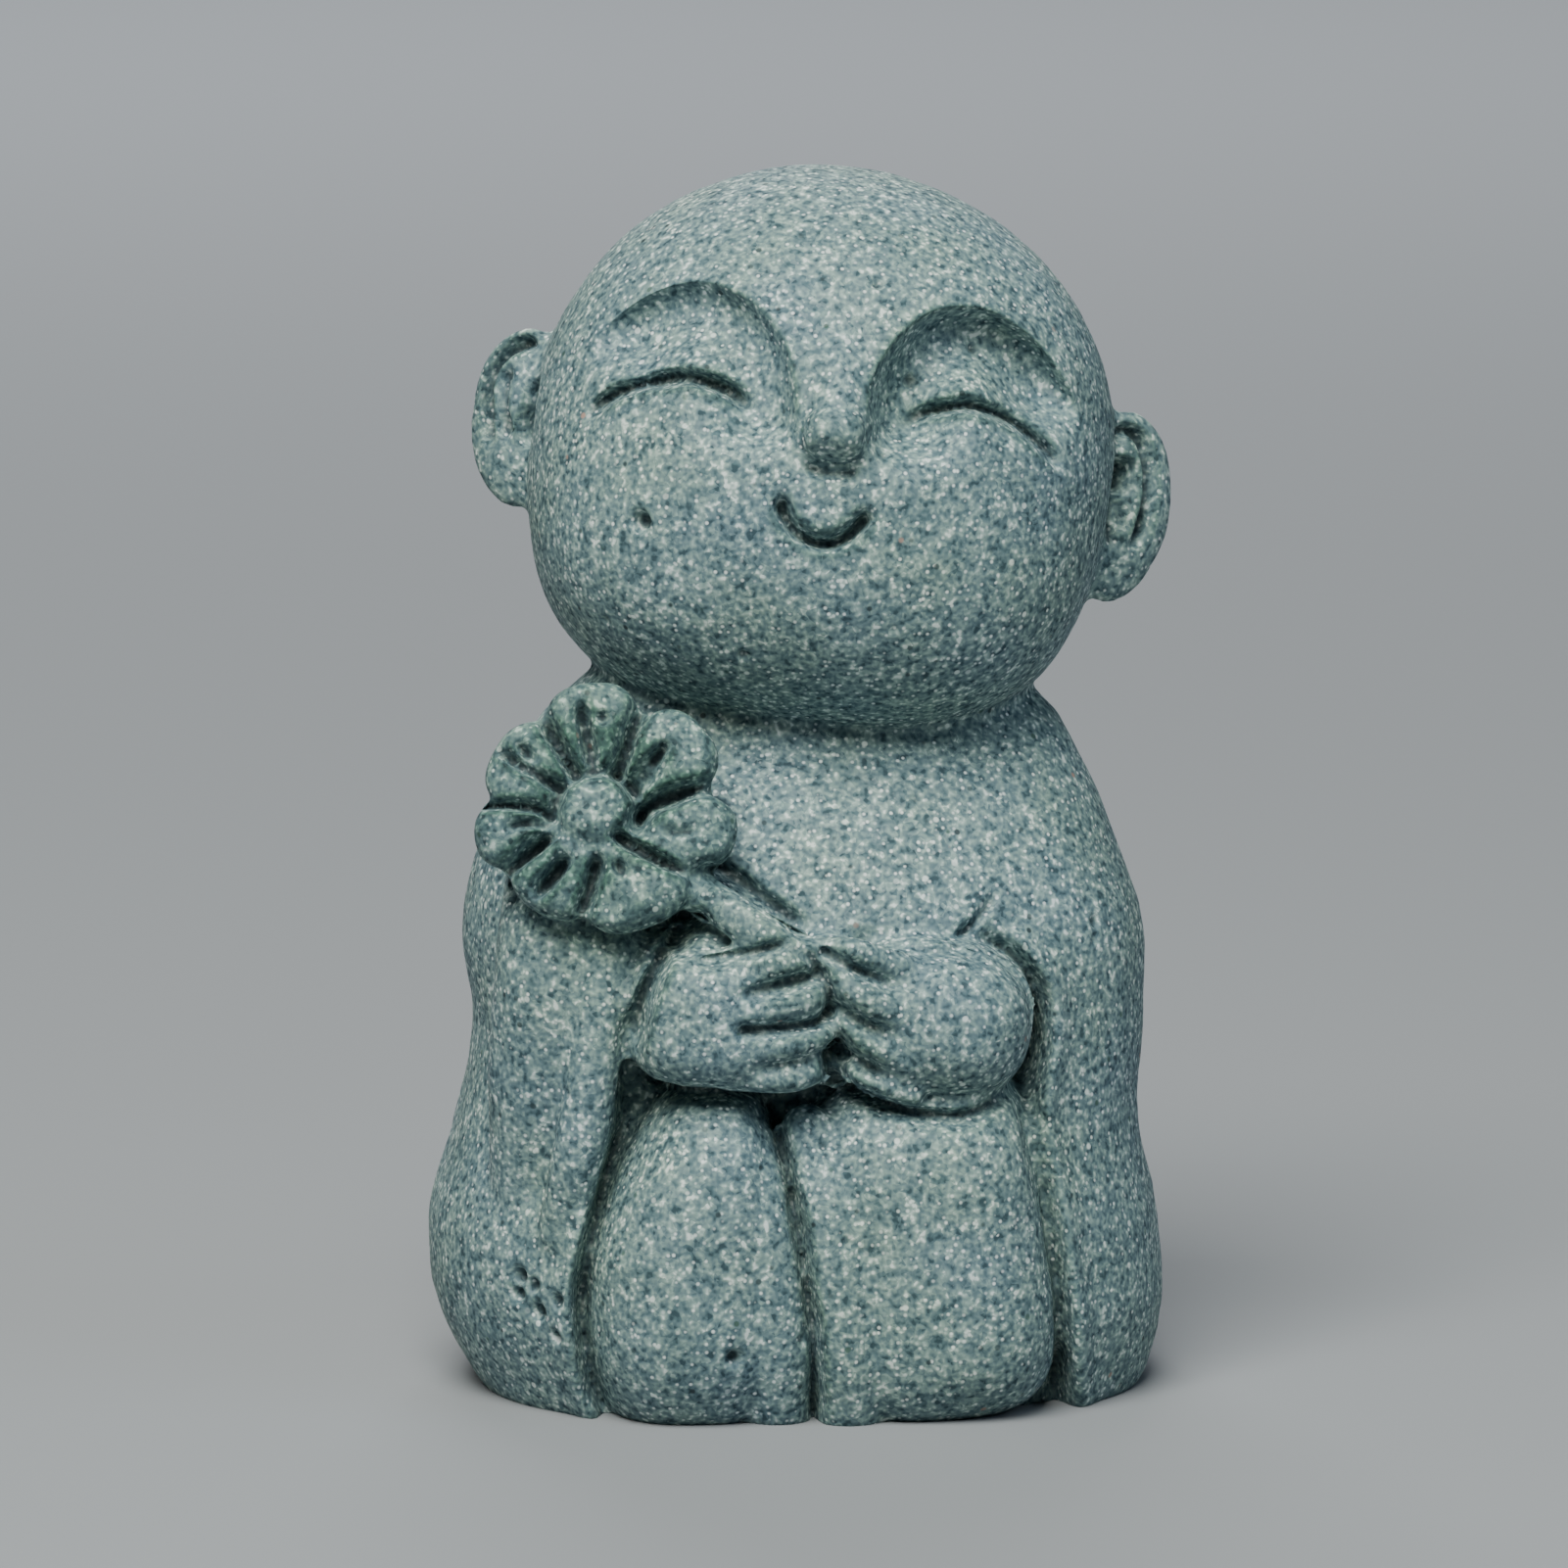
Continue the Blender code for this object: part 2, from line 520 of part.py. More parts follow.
# Ear rim and bowl in the ear's frame, as (x, z), for each side
EAR_RIMS = {
    -1: [(-1.4, 4.8), (0.0, 5.1), (1.3, 4.4), (2.2, 3.1), (2.5, 1.7), (2.3, -0.3), (1.8, -2.2)],
    1: [(-1.6, 3.5), (-1.0, 4.9), (0.3, 4.7), (1.2, 3.2), (1.6, 1.2), (1.6, -0.5), (1.3, -2.1),
        (0.5, -3.4)],
}
EAR_BOWLS = {
    -1: [(-1.9, 2.6), (-1.7, 0.8), (-1.3, -0.4), (-1.3, -2.2)],
    1: [(-0.9, 3.0), (-0.8, 1.6), (-0.5, -0.2)],
}
EAR_RIM_WIDTH, EAR_RIM_DEPTH = 0.7, 1.1
EAR_BOWL_WIDTH, EAR_BOWL_DEPTH = 1.1, 1.5


def cut_ears(skin, frame):
    """Cuts the rim and the bowl of each ear."""
    for side in (-1, 1):
        place = ear_frame(frame, side)
        skin.groove(place, EAR_RIMS[side], EAR_RIM_WIDTH, EAR_RIM_DEPTH, reach=4.0)
        skin.groove(place, EAR_BOWLS[side], EAR_BOWL_WIDTH, EAR_BOWL_DEPTH, reach=4.0, taper=0.0)


def cut_flower(skin, frame):
    """Parts the petals, rounds the centre and draws the veins."""
    def ray(angle, inner, outer):
        c, s = math.cos(math.radians(angle)), math.sin(math.radians(angle))
        return [(r * c, r * s) for r in np.linspace(inner, outer, 4)]

    for angle in PARTINGS:
        line = ray(angle, FLOWER_CENTRE, PARTING_REACH)
        skin.groove(frame, line, PARTING_WIDTH, PARTING_DEPTH, reach=5.0, taper=0.2)
    for angle, inner, outer, width, depth in VEINS:
        skin.groove(frame, ray(angle, inner, outer), width, depth, reach=5.0, taper=0.25)
    radius = FLOWER_CENTRE + RING_OFFSET
    x, z = FLOWER_CENTRE_PLACE
    ring = [(radius * math.cos(a) + x, radius * math.sin(a) + z)
            for a in np.linspace(0, 2 * math.pi, 13)]
    skin.groove(frame, ring, RING_WIDTH, RING_DEPTH, reach=5.0, taper=0.0)


# Lines cut into the front of the body, as (x, z), each with its width and depth
BODY_LINES = [
    # Above the stem
    ([(-8.8, 39.0), (-7.0, 38.0), (-4.5, 36.3), (-2.0, 34.5), (-0.8, 33.6)], 0.6, 0.8),
    # Between the legs
    ([(-3.6, 23.2), (-2.7, 18.7), (-2.0, 14.9), (-1.4, 10.8), (-0.8, 6.8), (-0.6, 1.9), (-0.5, -1.5)],
     0.7, 1.3),
    # Between each sleeve and leg
    ([(-12.8, 22.3), (-13.3, 20.2), (-14.4, 16.9), (-15.4, 13.3), (-16.0, 10.0), (-16.2, 6.5),
      (-15.6, 3.5), (-15.0, 0.8), (-14.6, -1.5)], 0.7, 1.0),
    ([(13.4, 24.0), (13.9, 20.5), (14.7, 16.8), (15.6, 12.2), (16.3, 7.5), (16.6, 1.2), (16.6, -1.5)],
     0.7, 1.1),
    # Between each hand and sleeve
    ([(-10.2, 33.4), (-11.2, 31.9), (-12.2, 30.0), (-12.7, 27.8), (-12.9, 26.2), (-13.0, 24.6)], 0.75, 1.6),
    ([(9.9, 32.7), (11.6, 32.1), (13.3, 30.9), (14.5, 28.5), (14.8, 25.6), (14.0, 23.2), (12.4, 22.2)],
     0.75, 1.0),
    # Under the hands
    ([(-12.6, 23.8), (-10.2, 23.1), (-5.6, 22.9), (-0.5, 23.0)], 0.7, 1.2),
    ([(0.1, 24.0), (3.8, 22.3), (6.5, 21.5), (9.8, 21.4), (13.0, 22.6)], 0.7, 1.2),
    # Between the hands
    ([(-2.1, 33.7), (-1.0, 32.4), (-0.3, 31.2), (0.1, 30.1), (0.3, 28.3), (0.9, 27.0), (0.3, 26.2),
      (0.0, 25.2), (0.1, 23.3)], 0.55, 1.0),
    # Between the fingers of each hand
    ([(-9.4, 32.2), (-6.2, 32.8), (-3.8, 33.4), (-2.4, 33.9)], 0.5, 0.6),
    ([(-7.1, 30.1), (-4.3, 30.6), (-0.5, 31.5)], 0.6, 0.9),
    ([(-6.3, 27.8), (-3.8, 27.9), (-1.0, 28.1), (0.1, 28.7)], 0.5, 1.1),
    ([(-6.0, 24.9), (-3.0, 25.5), (-0.2, 26.3)], 0.55, 0.4),
    ([(-0.6, 33.2), (1.4, 32.1), (3.6, 31.0), (5.0, 30.0)], 0.5, 0.9),
    ([(0.4, 29.5), (2.4, 28.2), (4.8, 26.8)], 0.6, 0.7),
    ([(0.2, 26.6), (2.2, 25.4), (4.8, 24.1)], 0.6, 0.8),
    # Fold of the cloth over the arm, and the crease under it
    ([(12.7, 36.2), (11.5, 34.9), (10.3, 33.7), (9.0, 32.7)], 0.5, 0.7),
    ([(3.6, 33.2), (5.6, 32.9), (7.4, 32.6), (9.4, 32.5), (11.6, 31.8)], 0.6, 0.8),
]
LINE_TAPER = 0.2
# Shallow hollow behind each sleeve, as (x, z), with its width and depth
BACK_HOLLOW = [(11.5, 42.0), (13.6, 33.0), (14.2, 22.0), (13.4, 9.0), (12.6, 1.0)]
BACK_HOLLOW_WIDTH, BACK_HOLLOW_DEPTH = 3.2, 0.6


def cut_body(skin, frame):
    """Cuts the lines between sleeves, legs, hands and fingers, and hollows the back."""
    front = frame @ basis((0, -16.0, 0), (1, 0, 0), (0, 1, 0))
    for line, width, depth in BODY_LINES:
        skin.groove(front, line, width, depth, reach=9.0, taper=LINE_TAPER)
    back = frame @ basis((0, 16.0, 0), (-1, 0, 0), (0, -1, 0))
    for side in (-1, 1):
        line = [(side * x, z) for x, z in BACK_HOLLOW]
        skin.groove(back, line, BACK_HOLLOW_WIDTH, BACK_HOLLOW_DEPTH, reach=12.0, taper=0.3)


def stone_material():
    """Green-grey bonded stone, matt."""
    stone = bpy.data.materials.new("green_grey_cast_stone")
    stone.use_nodes = True
    shader = stone.node_tree.nodes["Principled BSDF"]
    shader.inputs["Base Color"].default_value = STONE_COLOUR
    shader.inputs["Roughness"].default_value = STONE_ROUGHNESS
    shader.inputs["Metallic"].default_value = 0.0
    return stone


def frames():
    """Where the body, the head and the flower stand, in layout millimetres."""
    body = Matrix.Diagonal((ROBE_WIDTH / METRES / LAYOUT_ROBE_WIDTH,
                            ROBE_DEPTH / METRES / LAYOUT_ROBE_DEPTH, 1, 1))
    head_size = HEAD_WIDTH / METRES / LAYOUT_HEAD_WIDTH
    head_frame = turned(HEAD_PLACE, pitch=HEAD_PITCH, roll=HEAD_ROLL, yaw=HEAD_YAW)
    flower_size = FLOWER_DIAMETER / METRES / LAYOUT_FLOWER_DIAMETER
    flower_frame = body @ turned(FLOWER_PLACE, pitch=FLOWER_PITCH, yaw=FLOWER_YAW)
    return body, head_frame @ Matrix.Scale(head_size, 4), flower_frame @ Matrix.Scale(flower_size, 4)


def carved_figure(cell=SKIN_CELL, softening=SKIN_SOFTENING):
    """The whole figure as one carved skin, in layout millimetres."""
    body, head_frame, flower_frame = frames()
    masses = robe(body) + legs(body) + hands(body) + stem(body)
    masses += head(head_frame) + flower(flower_frame)
    figure = joined(masses, NAME)
    one_skin(figure, cell, softening)
    skin = Skin(figure.data)
    cut_face(skin, head_frame)
    cut_ears(skin, head_frame)
    cut_flower(skin, flower_frame)
    cut_body(skin, body)
    skin.store()
    return figure


def main():
    for old in list(bpy.data.objects):
        bpy.data.objects.remove(old, do_unlink=True)
    figure = carved_figure()
    thinned(figure, SKIN_TRIANGLES)
    cut_flat(figure)
    figure.data.transform(Matrix.Scale(METRES, 4))
    figure.data.shade_smooth()
    figure.data.materials.append(stone_material())
    group = bpy.data.collections.new(NAME)
    bpy.context.scene.collection.children.link(group)
    for holder in list(figure.users_collection):
        holder.objects.unlink(figure)
    group.objects.link(figure)


if __name__ == "__main__":
    main()
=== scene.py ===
"""Looks of a small cast-stone garden figure: a child monk who holds a daisy.

The figure is one casting of bonded sandstone. It is modelled in millimetres, facing
-Y with its base on z = 0: rounded masses are run together into one skin, the skin is
softened as a worn mould softens it, and the carving is then cut into it. The skin is
brought to metres at the end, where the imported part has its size.
"""

import logging
import math
from dataclasses import dataclass, field, replace
from enum import Enum
from typing import Any, Iterable, Sequence

import bmesh
import bpy
import numpy as np
from mathutils import Euler, Matrix, Vector


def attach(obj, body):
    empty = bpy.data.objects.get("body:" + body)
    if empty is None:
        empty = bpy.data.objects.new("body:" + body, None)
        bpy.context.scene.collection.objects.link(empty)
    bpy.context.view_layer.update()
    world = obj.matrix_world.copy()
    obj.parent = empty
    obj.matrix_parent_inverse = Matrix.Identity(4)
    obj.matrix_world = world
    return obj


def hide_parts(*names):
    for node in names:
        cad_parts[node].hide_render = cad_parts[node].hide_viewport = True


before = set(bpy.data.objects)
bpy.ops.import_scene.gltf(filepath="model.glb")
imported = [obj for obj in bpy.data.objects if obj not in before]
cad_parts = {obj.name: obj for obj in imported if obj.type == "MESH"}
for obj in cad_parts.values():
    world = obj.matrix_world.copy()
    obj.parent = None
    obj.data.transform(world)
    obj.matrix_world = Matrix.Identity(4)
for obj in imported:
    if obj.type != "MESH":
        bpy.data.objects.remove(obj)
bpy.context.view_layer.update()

Array = np.ndarray
Point2 = tuple[float, float]
Point3 = tuple[float, float, float]
Point4 = tuple[float, float, float, float]
Stations = tuple[Point2, ...]
Object = bpy.types.Object
Socket = bpy.types.NodeSocket
Tree = bpy.types.NodeTree

LOG = logging.getLogger("garden_figure")
METRES = 0.001
CAD_NODE = "monk_statue"
# What the lights and the camera look at, in metres
FIGURE_MIDDLE = (-0.0011, 0.0, 0.0415)
# From the body's middle to the upright planes that it is carved from, in millimetres
BODY_FACE = 16.0
# Distance between the bends of a hand-cut line, in millimetres
WANDER_SIZE = 1.6
# Where a mass turns from its own level to its base level, downwards, in shares of its height
BASE_BLEND = (-0.2, 0.7)
BALL_SEGMENTS, BALL_RINGS = 128, 96


class Side(Enum):
    """Which half of the figure a mirrored feature is on, as the sign of its x."""

    VIEWER_LEFT = -1
    VIEWER_RIGHT = 1


class Section(Enum):
    """Section of a cut line, as its width (above, below) in shares of its half width."""

    ROUND = (1.0, 1.0)
    SHARP_ABOVE = (0.5, 1.4)
    SHARP_BELOW = (1.3, 0.6)


# Numbers and lines ---------------------------------------------------------------


def step(x: Array | float, start: float, end: float) -> Array:
    """Rises smoothly from 0 at start to 1 at end."""
    t = np.clip((np.asarray(x, float) - start) / (end - start), 0, 1)
    return t * t * (3 - 2 * t)


def smooth_read(stations: Stations, at: float) -> float:
    """Reads a smooth curve through (position, value) stations.

    Args:
        stations: Points that the curve passes through, positions rising.
        at: Position to read, held to the stations' range.

    Returns:
        The curve's value there.
    """
    x, y = np.array(stations, float).T
    slope = np.gradient(y, x)
    at = float(np.clip(at, x[0], x[-1]))
    i = int(np.clip(np.searchsorted(x, at) - 1, 0, len(x) - 2))
    span = x[i + 1] - x[i]
    t = (at - x[i]) / span
    rise = (2 * t**3 - 3 * t**2 + 1) * y[i] + (3 * t**2 - 2 * t**3) * y[i + 1]
    lean = (t**3 - 2 * t**2 + t) * slope[i] + (t**3 - t**2) * slope[i + 1]
    return float(rise + lean * span)


def smooth_line(points: Sequence[Sequence[float]], steps: int = 10) -> Array:
    """Draws a smooth line through a few points.

    Args:
        points: Points with any number of coordinates.
        steps: Points to give for each span.

    Returns:
        The line as an array of closer points.
    """
    p = np.array(points, float)
    p = np.vstack([2 * p[0] - p[1], p, 2 * p[-1] - p[-2]])
    t = np.linspace(0, 1, steps, endpoint=False)[:, None]
    spans = []
    for a, b, c, d in zip(p, p[1:], p[2:], p[3:]):
        spans.append(0.5 * (2 * b + (c - a) * t + (2 * a - 5 * b + 4 * c - d) * t**2
                            + (3 * b - a - 3 * c + d) * t**3))
    return np.vstack(spans + [p[-2:-1]])


def distance_to(route: Array, places: Array) -> tuple[Array, Array, Array]:
    """Measures places against a flat line.

    Args:
        route: Points of the line, as (x, z).
        places: Places to measure, as (x, z).

    Returns:
        Distance to the line, side of it (1 on the left of its run), share along it.
    """
    start, run = route[:-1], route[1:] - route[:-1]
    length = np.linalg.norm(run, axis=1)
    before = np.concatenate([[0], np.cumsum(length)])
    best = np.full(len(places), np.inf)
    side, share = np.zeros(len(places)), np.zeros(len(places))
    for a, d, size, done in zip(start, run, length, before):
        offset = places - a
        t = np.clip(offset @ d / size**2, 0, 1)
        gap = np.linalg.norm(offset - t[:, None] * d, axis=1)
        closer = gap < best
        best[closer] = gap[closer]
        side[closer] = np.sign(d[0] * offset[closer, 1] - d[1] * offset[closer, 0])
        share[closer] = (done + t[closer] * size) / before[-1]
    return best, side, share


def rough(points: Array, size: float, seed: int) -> Array:
    """Smooth random heights in space, the same on every run.

    Args:
        points: Places, as rows of (x, y, z).
        size: Distance between one random height and the next.
        seed: Picks one pattern among many.

    Returns:
        A height from -1 to 1 for each place.
    """
    cell = points / size + seed * 17.31
    low = np.floor(cell).astype(np.int64)
    t = cell - low
    t = t * t * (3 - 2 * t)
    total = np.zeros(len(points))
    for corner in range(8):
        bits = np.array([corner & 1, corner >> 1 & 1, corner >> 2 & 1])
        spot = low + bits
        # Any scrambling of the cell's place will do, if every run scrambles alike
        mixed = spot[:, 0] * 73856093 ^ spot[:, 1] * 19349663 ^ spot[:, 2] * 83492791
        mixed = (mixed + seed * 7919) & 0xFFFFF
        mixed = (mixed * 48271 + 11) & 0xFFFFF
        mixed = (mixed ^ mixed >> 7) * 40503 & 0xFFFFF
        weight = np.where(bits, t, 1 - t).prod(axis=1)
        total += weight * (mixed / 0x7FFFF - 1)
    return total


# Frames --------------------------------------------------------------------------


def basis(origin: Point3, right: Sequence[float], into: Sequence[float],
          up: Sequence[float] = (0, 0, 1)) -> Matrix:
    """Makes a frame on a surface.

    Args:
        origin: Where the frame is.
        right: Its x direction, to one side.
        into: Its y direction, into the surface.
        up: Its z direction.

    Returns:
        The frame.
    """
    columns = [Vector(axis).normalized() for axis in (right, into, up)]
    placed = Matrix(columns).transposed().to_4x4()
    placed.translation = Vector(origin)
    return placed


def body_frame(body: Matrix, facing: int = 1) -> Matrix:
    """An upright frame at the body's front, or at its back where facing is -1."""
    return body @ basis((0, -BODY_FACE * facing, 0), (facing, 0, 0), (0, facing, 0))


def turned(origin: Point3, pitch: float = 0.0, roll: float = 0.0, yaw: float = 0.0) -> Matrix:
    """A frame at a point, rolled about its view axis, pitched, then yawed, in degrees."""
    angles = Euler([math.radians(a) for a in (pitch, roll, yaw)], "YXZ")
    return Matrix.Translation(Vector(origin)) @ angles.to_matrix().to_4x4()


# Masses --------------------------------------------------------------------------


def settled_mesh(shape: Object) -> bpy.types.Mesh:
    """The mesh of an object as its modifiers leave it."""
    graph = bpy.context.evaluated_depsgraph_get()
    return bpy.data.meshes.new_from_object(shape.evaluated_get(graph))


def linked(name: str, data: bpy.types.ID, place: Matrix | None = None) -> Object:
    """Adds an object to the scene.

    Args:
        name: The object's name.
        data: The mesh, curve, light or camera that it shows.
        place: Where it stands, if not at the origin.

    Returns:
        The object.
    """
    made = bpy.data.objects.new(name, data)
    bpy.context.collection.objects.link(made)
    if place is not None:
        made.matrix_world = place
    return made


@dataclass(frozen=True)
class Mass:
    """A rounded mass: a ball drawn out to a super-ellipsoid.

    The level is its squareness, 2 for a ball; it may differ upright and at the base. Its
    upper half may taper and lean to one side, in shares of its x radius.
    """

    centre: Point3
    radii: Point3
    turn: Point3 = (0.0, 0.0, 0.0)
    level: float = 2.0
    upright: float | None = None
    base_level: float | None = None
    taper: float = 0.0
    lean: float = 0.0

    def build(self, place: Matrix) -> list[Object]:
        """Builds the mass.

        Args:
            place: Frame that the centre and the turn are given in.

        Returns:
            The mass, as a list of one object.
        """
        bpy.ops.mesh.primitive_uv_sphere_add(segments=BALL_SEGMENTS, ring_count=BALL_RINGS, radius=1.0)
        made = bpy.context.object
        co = np.array([v.co for v in made.data.vertices])
        squarer = (self.base_level or self.level) - self.level
        level = self.level + squarer * step(-co[:, 2], *BASE_BLEND)
        upright = self.upright or level
        x, y, z = np.abs(co).T
        size = ((x**level + y**level)**(upright / level) + z**upright)**(1 / upright)
        co = co / size[:, None]
        height = np.maximum(co[:, 2], 0)
        co[:, 0] = co[:, 0] * (1 - self.taper * height) + self.lean * height
        made.data.vertices.foreach_set("co", (co * self.radii).ravel())
        spin = Euler([math.radians(a) for a in self.turn]).to_matrix().to_4x4()
        made.matrix_world = place @ Matrix.Translation(Vector(self.centre)) @ spin
        return [made]


@dataclass(frozen=True)
class Limb:
    """A round limb through (x, y, z, radius) points, with a ball at each end."""

    points: tuple[Point4, ...]

    def build(self, place: Matrix) -> list[Object]:
        """Builds the limb.

        Args:
            place: Frame that the points are given in.

        Returns:
            The limb and its two end balls.
        """
        line = smooth_line(self.points)
        curve = bpy.data.curves.new("limb", "CURVE")
        curve.dimensions = "3D"
        curve.bevel_depth = 1.0
        curve.bevel_resolution = 6
        curve.use_fill_caps = True
        spline = curve.splines.new("POLY")
        spline.points.add(len(line) - 1)
        for point, (x, y, z, radius) in zip(spline.points, line):
            point.co = (x, y, z, 1.0)
            point.radius = radius
        drawn = linked("limb", curve)
        made = linked("limb", settled_mesh(drawn), place)
        bpy.data.objects.remove(drawn)
        balls = (Mass(tuple(line[i][:3]), (line[i][3],) * 3) for i in (0, -1))
        return [made] + built(balls, place)


Shape = Mass | Limb


def built(shapes: Iterable[Shape], place: Matrix) -> list[Object]:
    """Builds masses and limbs that are given in one frame."""
    return [made for shape in shapes for made in shape.build(place)]


# Carving -------------------------------------------------------------------------


@dataclass(frozen=True)
class Cut:
    """A line cut into the skin, as (x, z) points in some frame, in millimetres.

    Start and end are the shares of its length over which it runs in and out, and wander is
    how far its edge strays.
    """

    line: Stations
    width: float
    depth: float
    section: Section = Section.ROUND
    start: float = 0.2
    end: float = 0.2
    wander: float = 0.13


class CastSkin:
    """The points of the casting's skin and their normals, while it is carved."""

    # How squarely the skin has to face a frame to be carved, and to be carved in full
    SQUARELY = (0.05, 0.3)
    # A cut's margin in half widths, the fall of its sides, and the least run at its ends
    MARGIN = 4
    FALL = 2.2
    OVERRUN, LEAST_RUN = 0.02, 0.001
    # How far hollows and air holes reach, in radii
    REACH = 2.5

    def __init__(self, mesh: bpy.types.Mesh) -> None:
        """Reads the points and normals of a mesh.

        Args:
            mesh: The skin's mesh, in millimetres.
        """
        self.mesh = mesh
        flat = np.empty(len(mesh.vertices) * 3, np.float32)
        mesh.vertices.foreach_get("co", flat)
        self.points = flat.reshape(-1, 3).astype(float)
        mesh.vertex_normals.foreach_get("vector", flat)
        self.normals = flat.reshape(-1, 3).astype(float)

    def seen_from(self, place: Matrix) -> Array:
        """The points' coordinates in a frame."""
        inverse = np.array(place.inverted())
        return self.points @ inverse[:3, :3].T + inverse[:3, 3]

    def facing(self, place: Matrix, reach: float, low: Sequence[float],
               high: Sequence[float]) -> tuple[Array, Array, Array]:
        """Finds the skin that faces a frame.

        Args:
            place: The frame, y into the surface.
            reach: Greatest distance from the frame's plane.
            low: Lowest (x, z) in the frame.
            high: Highest (x, z) in the frame.

        Returns:
            Indices of the points, their (x, z) in the frame, how squarely they face it.
        """
        local = self.seen_from(place)
        into = np.array(place.to_3x3().col[1].normalized())
        turned_to = -self.normals @ into
        near = (np.abs(local[:, 1]) < reach) & (turned_to > self.SQUARELY[0])
        near &= ((local[:, (0, 2)] > low) & (local[:, (0, 2)] < high)).all(axis=1)
        index = np.nonzero(near)[0]
        return index, local[index][:, (0, 2)], step(turned_to[index], *self.SQUARELY)

    def push(self, index: Array, place: Matrix, depth: Array) -> None:
        """Moves points into the surface along the frame's y, by depths in millimetres."""
        self.points[index] += depth[:, None] * np.array(place.to_3x3().col[1])

    def cut(self, place: Matrix, line: Cut, reach: float) -> None:
        """Cuts one line into the skin.

        Args:
            place: Frame that the line is given in.
            line: The cut to make.
            reach: Greatest distance of the skin from the frame's plane.
        """
        route = smooth_line(line.line)
        margin = self.MARGIN * line.width
        index, places, facing = self.facing(place, reach, route.min(axis=0) - margin,
                                            route.max(axis=0) + margin)
        away, side, share = distance_to(route, places)
        away = away + line.wander * rough(self.points[index], WANDER_SIZE, seed=5)
        above, below = line.section.value
        width = line.width * np.where(side > 0, above, below)
        ends = step(share, -self.OVERRUN, line.start + self.LEAST_RUN)
        ends = ends * step(1 - share, -self.OVERRUN, line.end + self.LEAST_RUN)
        fall = np.exp(-self.FALL * (np.maximum(away, 0) / width)**2)
        self.push(index, place, line.depth * ends * facing * fall)

    def hollow(self, place: Matrix, centre: Point2, radii: Point2, depth: float, reach: float) -> None:
        """Sinks a soft oval hollow.

        Args:
            place: Frame that the hollow is given in.
            centre: Its middle, as (x, z).
            radii: Its radii along x and z.
            depth: Its depth in the middle.
            reach: Greatest distance of the skin from the frame's plane.
        """
        size = self.REACH * np.array(radii)
        index, places, facing = self.facing(place, reach, centre - size, centre + size)
        near = (((places - centre) / radii)**2).sum(axis=1)
        self.push(index, place, depth * facing * np.exp(-near))

    def pit(self, centre: Array, radius: float, depth: float) -> None:
        """Sinks a small round air hole into the skin along its normal.

        Args:
            centre: Where the hole is.
            radius: Its radius.
            depth: Its depth.
        """
        away = np.linalg.norm(self.points - centre, axis=1)
        index = np.nonzero(away < self.REACH * radius)[0]
        fall = np.exp(-(away[index] / radius)**4)
        self.points[index] -= (depth * fall)[:, None] * self.normals[index].mean(axis=0)

    def softened(self, rounds: int) -> Array:
        """The points as they lie when the skin is evened, without moving them."""
        everything = np.arange(len(self.points))
        return np.column_stack([self.eased(everything, column, rounds) for column in self.points.T])

    def settle(self, rounds: int) -> None:
        """Evens the points along the skin, as a mould rounds the finest edges."""
        self.points = self.softened(rounds)

    def eased(self, index: Array, values: Array, rounds: int) -> Array:
        """Evens out values along the skin.

        Args:
            index: Points that the values belong to.
            values: One value for each of those points.
            rounds: How often each point takes half of its neighbours' mean.

        Returns:
            The evened values.
        """
        ends = np.empty(len(self.mesh.edges) * 2, np.int32)
        self.mesh.edges.foreach_get("vertices", ends)
        slot = np.full(len(self.points), -1)
        slot[index] = np.arange(len(index))
        a, b = slot[ends.reshape(-1, 2)].T
        known = (a >= 0) & (b >= 0)
        a, b = a[known], b[known]
        count = np.bincount(a, minlength=len(index)) + np.bincount(b, minlength=len(index))
        count = np.maximum(count, 1)
        for _ in range(rounds):
            total = np.bincount(a, values[b], len(index)) + np.bincount(b, values[a], len(index))
            values = 0.5 * values + 0.5 * total / count
        return values

    def store(self) -> None:
        """Writes the carved points back to the mesh."""
        self.mesh.vertices.foreach_set("co", self.points.astype(np.float32).ravel())
        self.mesh.update()


@dataclass
class Carving:
    """A sub-assembly of the casting: shapes to run together, and lines to cut."""

    place: Matrix
    shapes: tuple[Shape, ...] = ()
    cuts: tuple[Cut, ...] = ()
    # Greatest distance of the carved skin from the plane of the lines
    reach: float = 0.0

    def masses(self) -> list[Object]:
        """Builds the shapes in the sub-assembly's frame."""
        return built(self.shapes, self.place)

    def carved_from(self) -> Matrix:
        """The frame that the lines are given in."""
        return self.place

    def carve(self, skin: CastSkin) -> None:
        """Cuts the lines into the common skin."""
        for line in self.cuts:
            skin.cut(self.carved_from(), line, self.reach)


@dataclass
class BodyCarving(Carving):
    """A sub-assembly of the body, whose lines are given on an upright plane at its front."""

    reach: float = 9.0

    def carved_from(self) -> Matrix:
        """The upright frame at the body's front."""
        return body_frame(self.place)


